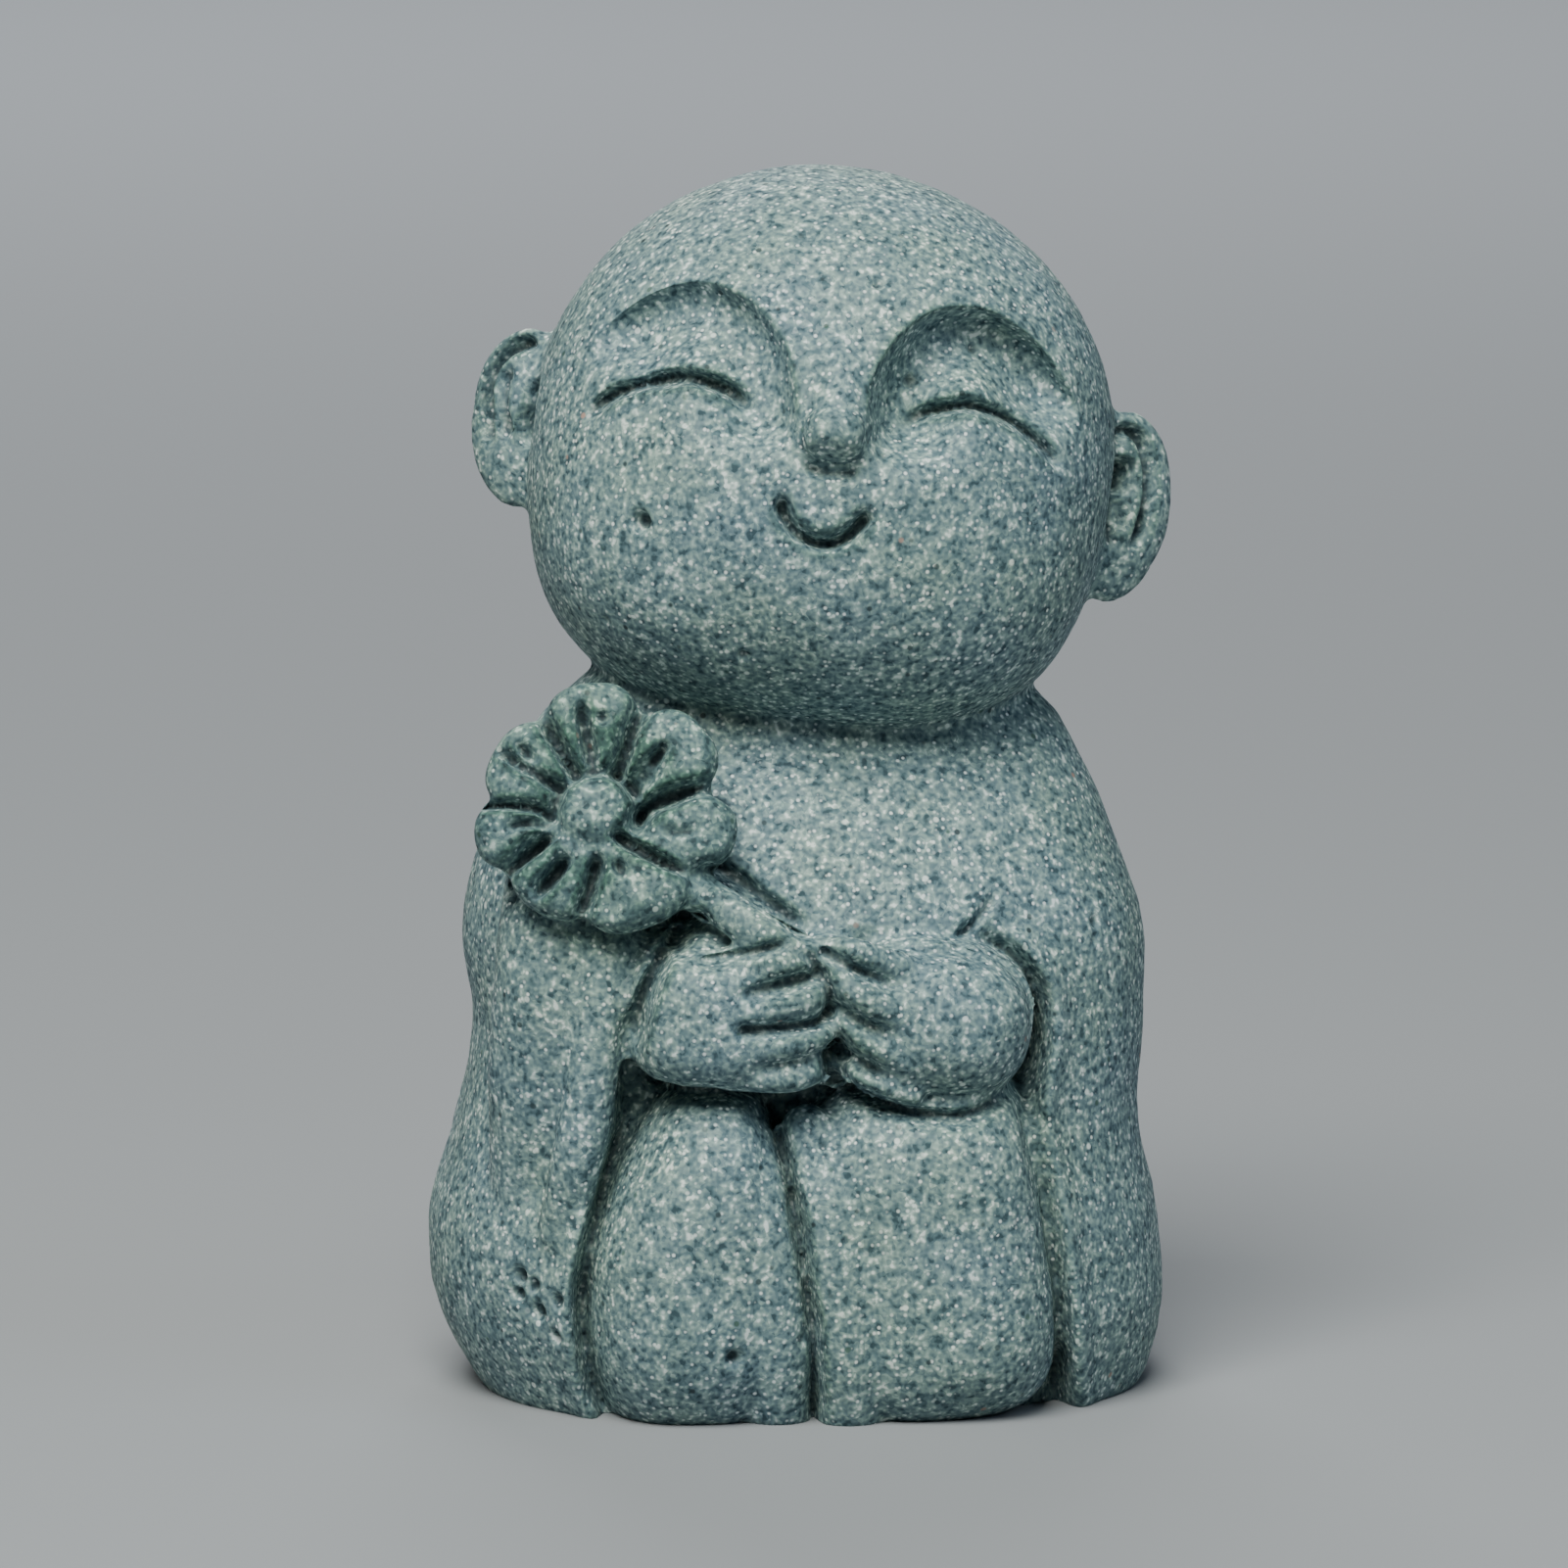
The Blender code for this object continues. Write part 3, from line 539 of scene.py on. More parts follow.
@dataclass
class Robe(BodyCarving):
    """The robe from the base to the neck, with the two sleeves that hang from the arms.

    Its outline is given as (height, half width or half depth), and the edges of its sleeves
    as (height, x). Between them the front is hollowed, by (height, depth).
    """

    left: Stations = ((-3, 19.8), (0, 22.4), (5, 25.2), (11, 26.0), (18, 24.2), (25, 22.8),
                      (32, 23.5), (38, 22.2), (43, 20.0), (47, 17.6), (50, 14.0), (53, 8.5))
    right: Stations = ((-3, 21.0), (0, 23.7), (5, 25.3), (11, 25.0), (19, 23.6), (26, 24.0),
                       (32, 23.9), (38, 22.0), (43, 19.9), (47, 17.6), (50, 14.0), (53, 8.5))
    front: Stations = ((-3, 17.5), (0, 19.4), (5, 21.0), (11, 21.4), (20, 19.6), (27, 18.4),
                       (33, 17.4), (38, 15.4), (43, 12.4), (47, 9.2), (50, 7.0), (53, 4.5))
    back: Stations = ((-3, 16.5), (0, 18.5), (5, 20.0), (11, 20.4), (20, 18.9), (30, 18.4),
                      (36, 17.4), (42, 14.5), (47, 10.8), (50, 8.0), (53, 4.5))
    lip_left: Stations = ((-3, -13.6), (0, -14.8), (2, -15.7), (5, -16.4), (8.5, -16.7), (12, -16.1),
                          (16, -15.1), (20, -14.0), (27, -13.5), (31.5, -12.6), (33.6, -11.4), (38, -8.5))
    lip_right: Stations = ((-3, 17.6), (0, 17.3), (6, 16.8), (14, 15.8), (21, 14.6), (26, 15.4),
                           (30, 14.8), (33, 12.6), (38, 10.0))
    hollow: Stations = ((-3, 2.5), (3, 3.6), (12, 4.4), (20, 4.4), (26, 3.8), (31, 2.6), (34, 0.0),
                        (38, 0.0))
    squareness: float = 2.35
    bottom: float = -3.0
    top: float = 53.0
    rings: int = 220
    ring_points: int = 480
    lip_softness: float = 0.8
    # Roll of each sleeve's edge: its height, place and width, and the hollow that has it whole
    lip_roll: float = 0.9
    lip_roll_place: float = 1.1
    lip_roll_width: float = 0.9
    lip_roll_from: float = 1.0
    shapes: tuple[Shape, ...] = (
        # The forearm under the cloth behind the flower
        Limb(((-16.6, -8.5, 41.0, 4.0), (-16.9, -12.4, 36.0, 4.6), (-17.5, -13.4, 31.0, 4.8),
              (-18.0, -12.6, 25.0, 4.6), (-18.4, -11.3, 19.0, 4.2), (-18.6, -10.0, 11.0, 3.6))),
        # The thick edge of that sleeve beside the hand
        Limb(((-13.4, -15.0, 35.5, 1.9), (-14.8, -16.8, 31.5, 2.0), (-15.3, -17.3, 27.0, 2.0),
              (-15.9, -17.2, 22.5, 2.0), (-16.8, -16.8, 18.0, 1.9), (-17.8, -15.6, 13.0, 1.7))),
    )
    back_hollow: Cut = Cut(((11.5, 42.0), (13.6, 33.0), (14.2, 22.0), (13.4, 9.0), (12.6, 1.0)),
                           3.2, 0.6, start=0.3, end=0.3, wander=0.0)
    back_reach: float = 12.0
    cuts: tuple[Cut, ...] = (
        # Between each sleeve and leg
        Cut(((-12.8, 22.3), (-13.3, 20.2), (-14.4, 16.9), (-15.4, 13.3), (-16.0, 10.0),
             (-16.2, 6.5), (-15.6, 3.5), (-15.0, 0.8), (-14.6, -1.5)), 0.45, 1.0, end=0.15),
        Cut(((13.4, 24.0), (13.9, 20.5), (14.7, 16.8), (15.6, 12.2), (16.3, 7.5), (16.6, 1.2),
             (16.6, -1.5)), 0.6, 1.4, end=0.15),
        # Between each hand and sleeve
        Cut(((-10.2, 33.4), (-11.2, 31.9), (-12.2, 30.0), (-12.7, 27.8), (-12.9, 26.2), (-13.0, 24.6)),
            0.72, 3.0, Section.SHARP_ABOVE, start=0.15, end=0.35),
        Cut(((9.9, 32.7), (11.6, 32.1), (13.3, 30.9), (14.5, 28.5), (14.8, 25.6), (14.0, 23.2),
             (12.4, 22.2)), 0.65, 1.3),
        # Fold of the cloth over the arm, and the crease under it
        Cut(((12.7, 36.2), (11.5, 34.9), (10.3, 33.7), (9.0, 32.7)), 0.36, 1.0, start=0.5, end=0.05),
        Cut(((3.6, 33.2), (5.6, 32.9), (7.4, 32.6), (9.4, 32.5), (11.6, 31.8)), 0.45, 1.1, start=0.4),
    )

    def masses(self) -> list[Object]:
        """Lofts the robe, hollowed in front between its sleeves.

        Returns:
            The robe, and what is given to it as shapes.
        """
        angle = np.linspace(0, 2 * math.pi, self.ring_points, endpoint=False)
        c, s = np.cos(angle), np.sin(angle)
        share = 2 / self.squareness
        work = bmesh.new()
        rows = []
        for z in np.linspace(self.bottom, self.top, self.rings):
            wide = np.where(c < 0, smooth_read(self.left, z), smooth_read(self.right, z))
            deep = np.where(s < 0, smooth_read(self.front, z), smooth_read(self.back, z))
            x = np.sign(c) * np.abs(c)**share * wide
            y = np.sign(s) * np.abs(s)**share * deep
            y = y + (s < 0) * self.front_relief(x, float(z))
            rows.append([work.verts.new((px, py, z)) for px, py in zip(x, y)])
        for low, high in zip(rows, rows[1:]):
            for i, j in zip(range(-1, self.ring_points - 1), range(self.ring_points)):
                work.faces.new((low[i], low[j], high[j], high[i]))
        work.faces.new(rows[0][::-1])
        work.faces.new(rows[-1])
        mesh = bpy.data.meshes.new("robe")
        work.to_mesh(mesh)
        work.free()
        return [linked("robe", mesh, self.place)] + super().masses()

    def front_relief(self, x: Array, z: float) -> Array:
        """Shapes the front between and along the sleeves.

        Args:
            x: Where the front is read.
            z: Height of the ring.

        Returns:
            Depth of the hollow there, less the roll of each sleeve's edge.
        """
        left, right = smooth_read(self.lip_left, z), smooth_read(self.lip_right, z)
        depth = max(smooth_read(self.hollow, z), 0.0)
        inside = step(x, left - self.lip_softness, left + self.lip_softness)
        inside = inside * (1 - step(x, right - self.lip_softness, right + self.lip_softness))
        roll = np.exp(-((x - left + self.lip_roll_place) / self.lip_roll_width)**2)
        roll = roll + np.exp(-((x - right - self.lip_roll_place) / self.lip_roll_width)**2)
        return depth * inside - min(depth, self.lip_roll_from) * self.lip_roll * roll

    def carve(self, skin: CastSkin) -> None:
        """Cuts the edges of the sleeves and hollows the back behind each.

        Args:
            skin: The skin to carve.
        """
        super().carve(skin)
        for side in Side:
            line = tuple((side.value * x, z) for x, z in self.back_hollow.line)
            skin.cut(body_frame(self.place, -1), replace(self.back_hollow, line=line), self.back_reach)


@dataclass
class Legs(BodyCarving):
    """Two upright rounded masses: the knees under the cloth, side by side."""

    shapes: tuple[Shape, ...] = (
        Mass((-8.6, -9.4, 11.3), (8.0, 12.9, 13.1), (0, 0, 0), 2.6, 3.1, taper=0.46, lean=0.18),
        Mass((7.4, -9.4, 11.6), (9.0, 13.0, 12.7), (0, -7.5, 0), 2.9, 3.7),
        # Front edge of each leg beside the parting
        Limb(((-5.3, -17.2, 19.4, 2.0), (-4.6, -18.8, 15.5, 2.3), (-3.9, -19.3, 10.0, 2.4),
              (-3.3, -18.6, 4.0, 2.4), (-3.0, -16.0, -1.0, 2.4))),
        Limb(((-1.0, -17.8, 20.2, 2.0), (0.1, -19.4, 15.5, 2.4), (0.9, -19.8, 10.0, 2.5),
              (1.5, -19.2, 4.0, 2.5), (1.9, -16.8, -1.0, 2.5))),
    )
    cuts: tuple[Cut, ...] = (
        Cut(((-3.6, 23.2), (-2.7, 18.7), (-2.0, 14.9), (-1.4, 10.8), (-0.8, 6.8), (-0.6, 1.9),
             (-0.5, -1.5)), 0.42, 2.3, start=0.3, end=0.08),
    )


@dataclass
class Hands(BodyCarving):
    """The two closed hands, which come out of the sleeves and meet on the stem."""

    shapes: tuple[Shape, ...] = (
        # The two fists, the stone between them, and the raised wrist at the viewer's left
        Mass((-6.5, -15.8, 28.2), (7.1, 7.2, 5.1), (0, -1, 0), 3.1, 3.3),
        Mass((7.6, -15.4, 27.7), (7.2, 7.3, 5.7), (0, 10, 0), 2.4),
        Mass((0.3, -17.4, 28.4), (3.2, 3.5, 5.4), (0, 0, 0), 2.4),
        Mass((-9.0, -14.4, 30.9), (4.2, 5.8, 3.5), (0, -6, 0), 2.6),
        # Fingers of the hand at the viewer's left, then of the other
        Limb(((-8.2, -19.0, 31.4, 1.4), (-4.0, -21.3, 32.2, 1.45), (-1.5, -21.1, 32.3, 1.3))),
        Limb(((-6.8, -20.6, 29.0, 1.3), (-3.4, -22.0, 29.5, 1.35), (-0.6, -21.4, 30.2, 1.2))),
        Limb(((-6.4, -20.8, 26.4, 1.3), (-3.2, -22.1, 26.8, 1.35), (-0.1, -21.5, 27.5, 1.2))),
        Limb(((-6.6, -20.2, 24.3, 1.1), (-3.0, -21.6, 24.4, 1.2), (-0.8, -21.2, 24.8, 1.1))),
        Limb(((5.0, -20.8, 31.8, 1.2), (1.6, -21.5, 33.0, 1.15), (-0.2, -20.6, 33.2, 0.9))),
        Limb(((5.6, -21.0, 28.0, 1.4), (2.4, -21.9, 29.9, 1.5), (0.2, -21.2, 31.4, 1.1))),
        Limb(((5.6, -21.0, 25.2, 1.2), (2.6, -21.6, 26.8, 1.3), (0.9, -20.9, 28.0, 1.1))),
        Limb(((5.8, -20.4, 22.9, 1.0), (2.9, -20.9, 24.1, 1.05), (1.1, -20.2, 25.1, 0.9))),
    )
    cuts: tuple[Cut, ...] = (
        # Under the hands
        Cut(((-12.6, 23.8), (-10.2, 23.1), (-5.6, 22.9), (-0.5, 23.0)), 0.6, 1.5),
        Cut(((0.1, 24.0), (3.8, 22.3), (6.5, 21.5), (9.8, 21.4), (13.0, 22.6)), 0.6, 1.5),
        # Between the hands, wider at the bottom
        Cut(((-2.1, 33.7), (-1.0, 32.4), (-0.3, 31.2), (0.1, 30.1), (0.3, 28.3), (0.9, 27.0), (0.3, 26.2),
             (0.0, 25.2), (0.1, 23.3)), 0.42, 1.3),
        Cut(((0.7, 27.4), (0.8, 25.4), (0.6, 23.0)), 1.0, 1.6, start=0.5),
        # Between the fingers of the viewer's left hand
        Cut(((-9.4, 32.2), (-6.2, 32.8), (-3.8, 33.4), (-2.4, 33.9)), 0.42, 1.1),
        Cut(((-7.1, 30.1), (-4.3, 30.6), (-0.5, 31.5)), 0.62, 1.3, start=0.5, end=0.02),
        Cut(((-6.3, 27.8), (-3.8, 27.9), (-1.0, 28.1), (0.1, 28.7)), 0.46, 1.7, start=0.1, end=0.02),
        Cut(((-6.0, 24.9), (-3.0, 25.5), (-0.2, 26.3)), 0.55, 0.45, start=0.5, end=0.1),
        # Between the fingers of the viewer's right hand
        Cut(((-0.6, 33.2), (1.4, 32.1), (3.6, 31.0), (5.0, 30.0)), 0.45, 1.1, start=0.05, end=0.5),
        Cut(((0.4, 29.5), (2.4, 28.2), (4.8, 26.8)), 0.7, 0.9, start=0.1, end=0.5),
        Cut(((0.2, 26.6), (2.2, 25.4), (4.8, 24.1)), 0.65, 1.1, start=0.05, end=0.5),
    )


@dataclass(frozen=True)
class Petal:
    """One petal: its angle and half angle in degrees, its reach and its lift."""

    angle: float
    half_angle: float
    reach: float
    lift: float


@dataclass
class Daisy(Carving):
    """A flower of seven thick folded petals round a low dome, and its stem."""

    # Frame of the body, which the stem is given in
    body: Matrix = field(default_factory=lambda: Matrix.Identity(4))
    petals: tuple[Petal, ...] = (
        Petal(-11, 21, 9.3, 0.1), Petal(40, 27, 9.0, 0.2), Petal(97, 28, 9.1, 0.1),
        Petal(149, 28, 8.7, 0.2), Petal(193, 20, 9.0, 0.2), Petal(235, 26, 8.3, 0.3),
        Petal(292, 34, 8.6, 0.5),
    )
    petal_root: float = 1.9
    petal_thickness: float = 2.1
    # A petal's half width: its half angle's sine times the first, plus the second
    petal_width: Point2 = (6.3, 0.45)
    petal_depth: float = 0.9
    petal_level: float = 2.6
    shapes: tuple[Shape, ...] = (
        # The disc behind the petals, and the dome
        Mass((0, 1.5, 0), (7.5, 1.9, 7.3), level=2.4),
        Mass((-0.4, -0.4, 0.0), (2.65, 1.9, 2.5), level=2.3),
    )
    cuts: tuple[Cut, ...] = (
        # Between the petals
        Cut(((2.1, -0.4), (3.2, 0.6), (4.8, 1.3), (8.3, 2.4)), 0.78, 2.6, Section.SHARP_ABOVE, 0.02, 0.55),
        Cut(((0.9, 2.2), (1.7, 4.3), (2.7, 8.0)), 0.80, 2.7, Section.SHARP_BELOW, 0.1, 0.6),
        Cut(((-1.7, 2.2), (-2.7, 3.8), (-4.5, 7.2)), 0.52, 2.4, start=0.1, end=0.55),
        Cut(((-3.3, -0.7), (-4.9, 0.2), (-9.2, 0.45)), 0.36, 1.8, start=0.1, end=0.2),
        Cut(((-2.9, -1.5), (-4.4, -2.6), (-7.2, -5.1)), 0.66, 2.7, Section.SHARP_ABOVE, 0.25, 0.55),
        Cut(((-0.3, -2.8), (-0.8, -4.9), (-1.8, -7.8)), 0.56, 2.4, Section.SHARP_BELOW, 0.25, 0.5),
        Cut(((0.8, -1.6), (2.7, -2.8), (6.2, -4.5)), 0.38, 2.2, start=0.05, end=0.35),
        # Folds of the petals
        Cut(((-0.6, 2.3), (-1.0, 4.5), (-1.8, 8.8)), 0.44, 2.0, start=0.2, end=0.6),
        Cut(((1.7, 1.4), (3.0, 2.6), (4.6, 4.6)), 1.15, 1.5, start=0.1, end=0.7),
        Cut(((3.1, 3.0), (4.7, 5.0)), 0.34, 1.5, start=0.3, end=0.5),
        Cut(((-2.7, 1.3), (-4.7, 2.4), (-7.9, 4.5)), 0.42, 2.0, Section.SHARP_ABOVE, 0.1, 0.5),
        Cut(((-4.3, 2.9), (-6.1, 4.8)), 0.32, 1.4, start=0.4, end=0.5),
        Cut(((-3.4, -1.1), (-5.0, -0.9), (-7.2, -1.4)), 0.42, 1.4, start=0.1, end=0.6),
        Cut(((-1.9, -3.1), (-3.0, -4.3), (-4.8, -6.3)), 0.72, 2.8, Section.SHARP_ABOVE, 0.3, 0.45),
        Cut(((0.9, -3.4), (1.6, -4.9)), 0.46, 1.3, start=0.3, end=0.5),
        Cut(((3.6, -1.2), (5.0, -1.5), (6.8, -1.2)), 0.36, 0.6, start=0.3, end=0.4),
        # Round the dome, open below it
        Cut(((1.6, -2.0), (2.5, -0.7), (2.3, 1.0), (1.1, 2.3), (-0.5, 2.7), (-2.2, 2.0), (-3.2, 0.5),
             (-3.2, -1.0), (-2.5, -2.2)), 0.44, 1.2),
    )
    reach: float = 5.0
    # Unevenness of the petals: size and depth of the bumps, how far out they lie, and their fade
    bumps: Point4 = (1.7, 0.30, 10.5, 1.5)
    stem_route: tuple[Point3, ...] = ((-12.0, -17.0, 38.1), (-8.0, -18.8, 36.4), (-4.0, -20.6, 33.9),
                                      (0.6, -21.2, 31.6))
    stem_radius: float = 1.55
    web: Limb = Limb(((-12.5, -13.8, 38.6, 1.9), (-8.0, -16.1, 36.1, 1.6), (-4.5, -18.0, 33.8, 1.6)))
    # Beside the stem, and the gap under it
    stem_cuts: tuple[Cut, ...] = (
        Cut(((-8.8, 39.0), (-7.0, 38.0), (-4.5, 36.3), (-2.0, 34.5), (-0.8, 33.6)), 0.55, 1.3),
        Cut(((-7.8, 35.0), (-9.0, 34.6), (-9.8, 33.8), (-10.4, 32.6)), 0.85, 2.4),
    )
    stem_reach: float = 6.5

    def masses(self) -> list[Object]:
        """Builds the disc, dome, petals, stem and the web behind the stem.

        Returns:
            All of them.
        """
        made = super().masses()
        spread, least = self.petal_width
        for petal in self.petals:
            ray = self.place @ Matrix.Rotation(math.radians(-petal.angle), 4, "Y")
            length = (petal.reach - self.petal_root) / 2
            width = spread * math.sin(math.radians(petal.half_angle)) + least
            made += Mass((self.petal_root + length, self.petal_depth - petal.lift, 0),
                         (length, self.petal_thickness, width), level=self.petal_level).build(ray)
        stem = Limb(tuple((*point, self.stem_radius) for point in self.stem_route))
        return made + built((stem, self.web), self.body)

    def carve(self, skin: CastSkin) -> None:
        """Roughs the flower, parts and folds the petals, rings the dome and frees the stem.

        Args:
            skin: The skin to carve.
        """
        size, depth, outer, fade = self.bumps
        index, places, facing = skin.facing(self.place, self.reach, (-outer, -outer), (outer, outer))
        near = step(outer - np.linalg.norm(places, axis=1), 0.0, fade)
        skin.push(index, self.place, depth * rough(skin.points[index], size, seed=5) * near * facing)
        super().carve(skin)
        for line in self.stem_cuts:
            skin.cut(body_frame(self.body), line, self.stem_reach)


@dataclass
class Ear(Carving):
    """The ear at the viewer's left: a rounded shell with a rolled rim, a bowl and a lobe.

    It is given the head's frame as its place and moves that to its own face.
    """

    side: Side = Side.VIEWER_LEFT
    offset: Point3 = (20.9, 1.0, -0.3)
    lean: float = 3.0
    splay: float = 28.0
    shapes: tuple[Shape, ...] = (Mass((0, 0.2, 0), (4.3, 1.9, 6.4)),
                                 Mass((-2.6, 0.4, -4.4), (2.2, 1.6, 2.7)))
    # Inside the rim, along the inner fold, and the bowl
    cuts: tuple[Cut, ...] = (
        Cut(((-1.4, 4.8), (0.0, 5.1), (1.3, 4.4), (2.2, 3.1), (2.5, 1.7), (2.3, -0.3), (1.8, -2.2)),
            0.48, 2.0),
        Cut(((0.4, 3.6), (0.9, 2.4), (0.8, 0.4), (0.4, -1.8)), 0.38, 1.1),
        Cut(((-1.9, 2.6), (-1.7, 0.8), (-1.3, -0.4), (-1.3, -2.2)), 0.75, 2.6),
    )
    reach: float = 4.0

    def __post_init__(self) -> None:
        """Moves the place from the head's frame to the ear's face, x pointing away from the head."""
        sign = self.side.value
        lean, splay = math.radians(self.lean), math.radians(self.splay)
        out, up = Vector((sign * math.cos(splay), math.sin(splay), 0)), Vector((0, 0, 1))
        into = (-sign * math.sin(splay), math.cos(splay), 0)
        x, y, z = self.offset
        self.place = self.place @ basis(
            (sign * x, y, z), out * math.cos(lean) - up * math.sin(lean), into,
            up * math.cos(lean) + out * math.sin(lean))


@dataclass
class LongEar(Ear):
    """The ear at the viewer's right, which is longer and seen more from the side."""

    side: Side = Side.VIEWER_RIGHT
    offset: Point3 = (20.9, 1.0, -1.1)
    shapes: tuple[Shape, ...] = (Mass((0, 0.2, -0.3), (4.2, 1.9, 6.9)),
                                 Mass((-2.7, 0.4, -5.2), (2.2, 1.6, 2.9)))
    # Inside the rim, the bowl above and below, and along the inner fold
    cuts: tuple[Cut, ...] = (
        Cut(((-1.6, 3.5), (-1.0, 4.9), (0.3, 4.7), (1.2, 3.2), (1.6, 1.2), (1.6, -0.5), (1.3, -2.1),
             (0.5, -3.4)), 0.55, 1.8),
        Cut(((-0.9, 3.0), (-0.8, 1.6), (-0.5, -0.2)), 1.15, 2.8, end=0.5),
        Cut(((-0.6, 0.2), (-0.4, -1.2), (-0.2, -2.4)), 0.95, 1.0, end=0.5),
        Cut(((-1.7, 1.3), (-1.2, -1.4), (-0.7, -3.4)), 0.45, 1.0),
    )


@dataclass(frozen=True)
class Brow:
    """One brow: its line from the temple to the nose, its socket's depth and that one's wall."""

    side: Side
    line: Stations
    depth: float
    wall: float


@dataclass
class Head(Carving):
    """The round head, fuller at the cheeks, with brows, closed eyes, nose and smile."""

    shapes: tuple[Shape, ...] = (
        Mass((0, 0, 0), (20.4, 19.3, 19.7), level=2.05, base_level=2.65),
        # The nose: its tip, then its bridge
        Mass((0.7, -19.1, 0.2), (2.15, 2.3, 1.9), level=3.0),
        Limb(((0.4, -16.4, 6.5, 1.9), (0.7, -18.1, 2.8, 2.0), (0.7, -19.2, 0.1, 1.8))),
    )
    brows: tuple[Brow, ...] = (
        Brow(Side.VIEWER_LEFT, (
            (-17.6, 2.6), (-16.6, 4.7), (-15.2, 6.6), (-13.1, 8.3), (-9.9, 9.6), (-7.2, 9.2),
            (-5.0, 7.8), (-3.6, 6.1), (-2.6, 3.9), (-2.0, 1.2), (-1.5, -1.8)), 2.9, 2.0),
        Brow(Side.VIEWER_RIGHT, (
            (18.0, 1.8), (17.4, 3.7), (15.9, 6.2), (13.6, 8.5), (11.2, 9.8), (8.7, 10.1),
            (6.6, 9.5), (4.8, 7.9), (3.5, 5.7), (2.9, 3.2), (2.9, 0.6), (3.1, -2.0)), 4.2, 1.7),
    )
    # Lowest and highest (x, z) of the sockets, and the unevenness of their edge
    brow_window: tuple[Point2, Point2] = ((-20, -8), (20, 14))
    brow_wander: float = 0.08
    # Rate and power of the wall's fall, then how far under the arch the floor rises again
    brow_fall: Point2 = (2.5, 1.1)
    brow_floor: Point2 = (2.2, 7.5)
    # Shares of the arch at which the socket is whole, and at which it begins to run out
    brow_ends: Point2 = (0.22, 0.88)
    brow_ease: int = 40
    cuts: tuple[Cut, ...] = (
        # The closed lids, then the smile
        Cut(((-16.4, -0.7), (-14.9, 0.9), (-13.0, 2.0), (-11.1, 2.7), (-9.4, 2.9), (-7.8, 2.7), (-6.4, 2.2),
             (-4.6, 1.0)), 0.5, 2.4, Section.SHARP_BELOW, 0.22, 0.22),
        Cut(((5.0, 1.4), (6.6, 2.5), (7.9, 3.0), (9.5, 3.4), (11.5, 3.1), (13.0, 2.5), (14.6, 1.5),
             (16.6, -0.2)), 0.5, 2.4, Section.SHARP_BELOW, 0.22, 0.22),
        Cut(((-2.3, -4.5), (-2.0, -5.5), (-1.2, -6.5), (0.1, -7.1), (1.4, -7.1), (2.5, -6.4), (3.3, -5.4),
             (3.7, -4.6)), 0.52, 2.3, start=0.06, end=0.1, wander=0.04),
    )
    # Under the nose: the hollow's middle and radii, its depth, and the line
    nose_hollow: tuple[Point2, Point2] = ((0.8, -1.5), (2.2, 0.9))
    nose_hollow_depth: float = 0.9
    nose_base: Cut = Cut(((-1.3, -2.1), (0.8, -2.4), (2.9, -2.1)), 0.5, 0.8, Section.SHARP_ABOVE)
    reach: float = 24.0
    ears: list[Ear] = field(default_factory=list)

    def __post_init__(self) -> None:
        """Gives the head its two ears."""
        self.ears = [Ear(self.place), LongEar(self.place)]

    def masses(self) -> list[Object]:
        """Builds the skull, nose and ears."""
        return super().masses() + [mass for ear in self.ears for mass in ear.masses()]

    def carve(self, skin: CastSkin) -> None:
        """Cuts the brows, eyes, smile, nose and ears.

        Args:
            skin: The skin to carve.
        """
        for brow in self.brows:
            self.carve_brow(skin, brow)
        super().carve(skin)
        skin.hollow(self.place, *self.nose_hollow, self.nose_hollow_depth, self.reach)
        skin.cut(self.place, self.nose_base, self.reach)
        for ear in self.ears:
            ear.carve(skin)

    def carve_brow(self, skin: CastSkin, brow: Brow) -> None:
        """Sinks one eye socket: a crisp arch, a bevel under it, then the swell of the lid.

        Args:
            skin: The skin to carve.
            brow: Which brow.
        """
        index, places, facing = skin.facing(self.place, self.reach, *self.brow_window)
        away, turn, share = distance_to(smooth_line(brow.line), places)
        uneven = self.brow_wander * rough(skin.points[index], WANDER_SIZE, seed=9)
        inside = away * turn * brow.side.value + uneven
        rate, power = self.brow_fall
        wall = 1 - np.exp(-rate * np.maximum(inside / brow.wall, 0)**power)
        whole, fades = self.brow_ends
        floor = (inside > -1) * (1 - step(inside, *self.brow_floor))
        floor = floor * step(share, 0.0, whole) * (1 - step(share, fades, 1.0))
        floor = skin.eased(index, floor, self.brow_ease)
        skin.push(index, self.place, brow.depth * wall * floor * facing)


# Finishes ------------------------------------------------------------------------


def linear(colour: str, alpha: float = 1.0) -> tuple[float, float, float, float]:
    """Turns an sRGB hex colour to linear light.

    Args:
        colour: Six hex digits, with or without a leading #.
        alpha: The fourth value of the result.

    Returns:
        Red, green, blue and alpha.
    """
    parts = [int(colour.lstrip("#")[i:i + 2], 16) / 255 for i in (0, 2, 4)]
    r, g, b = [c / 12.92 if c <= 0.04045 else ((c + 0.055) / 1.055)**2.4 for c in parts]
    return r, g, b, alpha


def add_node(tree: Tree, kind: str, settings: dict[str, Any] | None = None,
             inputs: dict[str | int, Any] | None = None) -> bpy.types.Node:
    """Adds a node with its settings and links.

    Args:
        tree: Node tree to add to.
        kind: Blender's name of the node type.
        settings: Properties to set on the node.
        inputs: Values for its inputs by name or number; an output socket is linked.

    Returns:
        The node.
    """
    node = tree.nodes.new(kind)
    for name, value in (settings or {}).items():
        setattr(node, name, value)
    for name, value in (inputs or {}).items():
        if isinstance(value, bpy.types.NodeSocket):
            tree.links.new(value, node.inputs[name])
        else:
            node.inputs[name].default_value = value
    return node


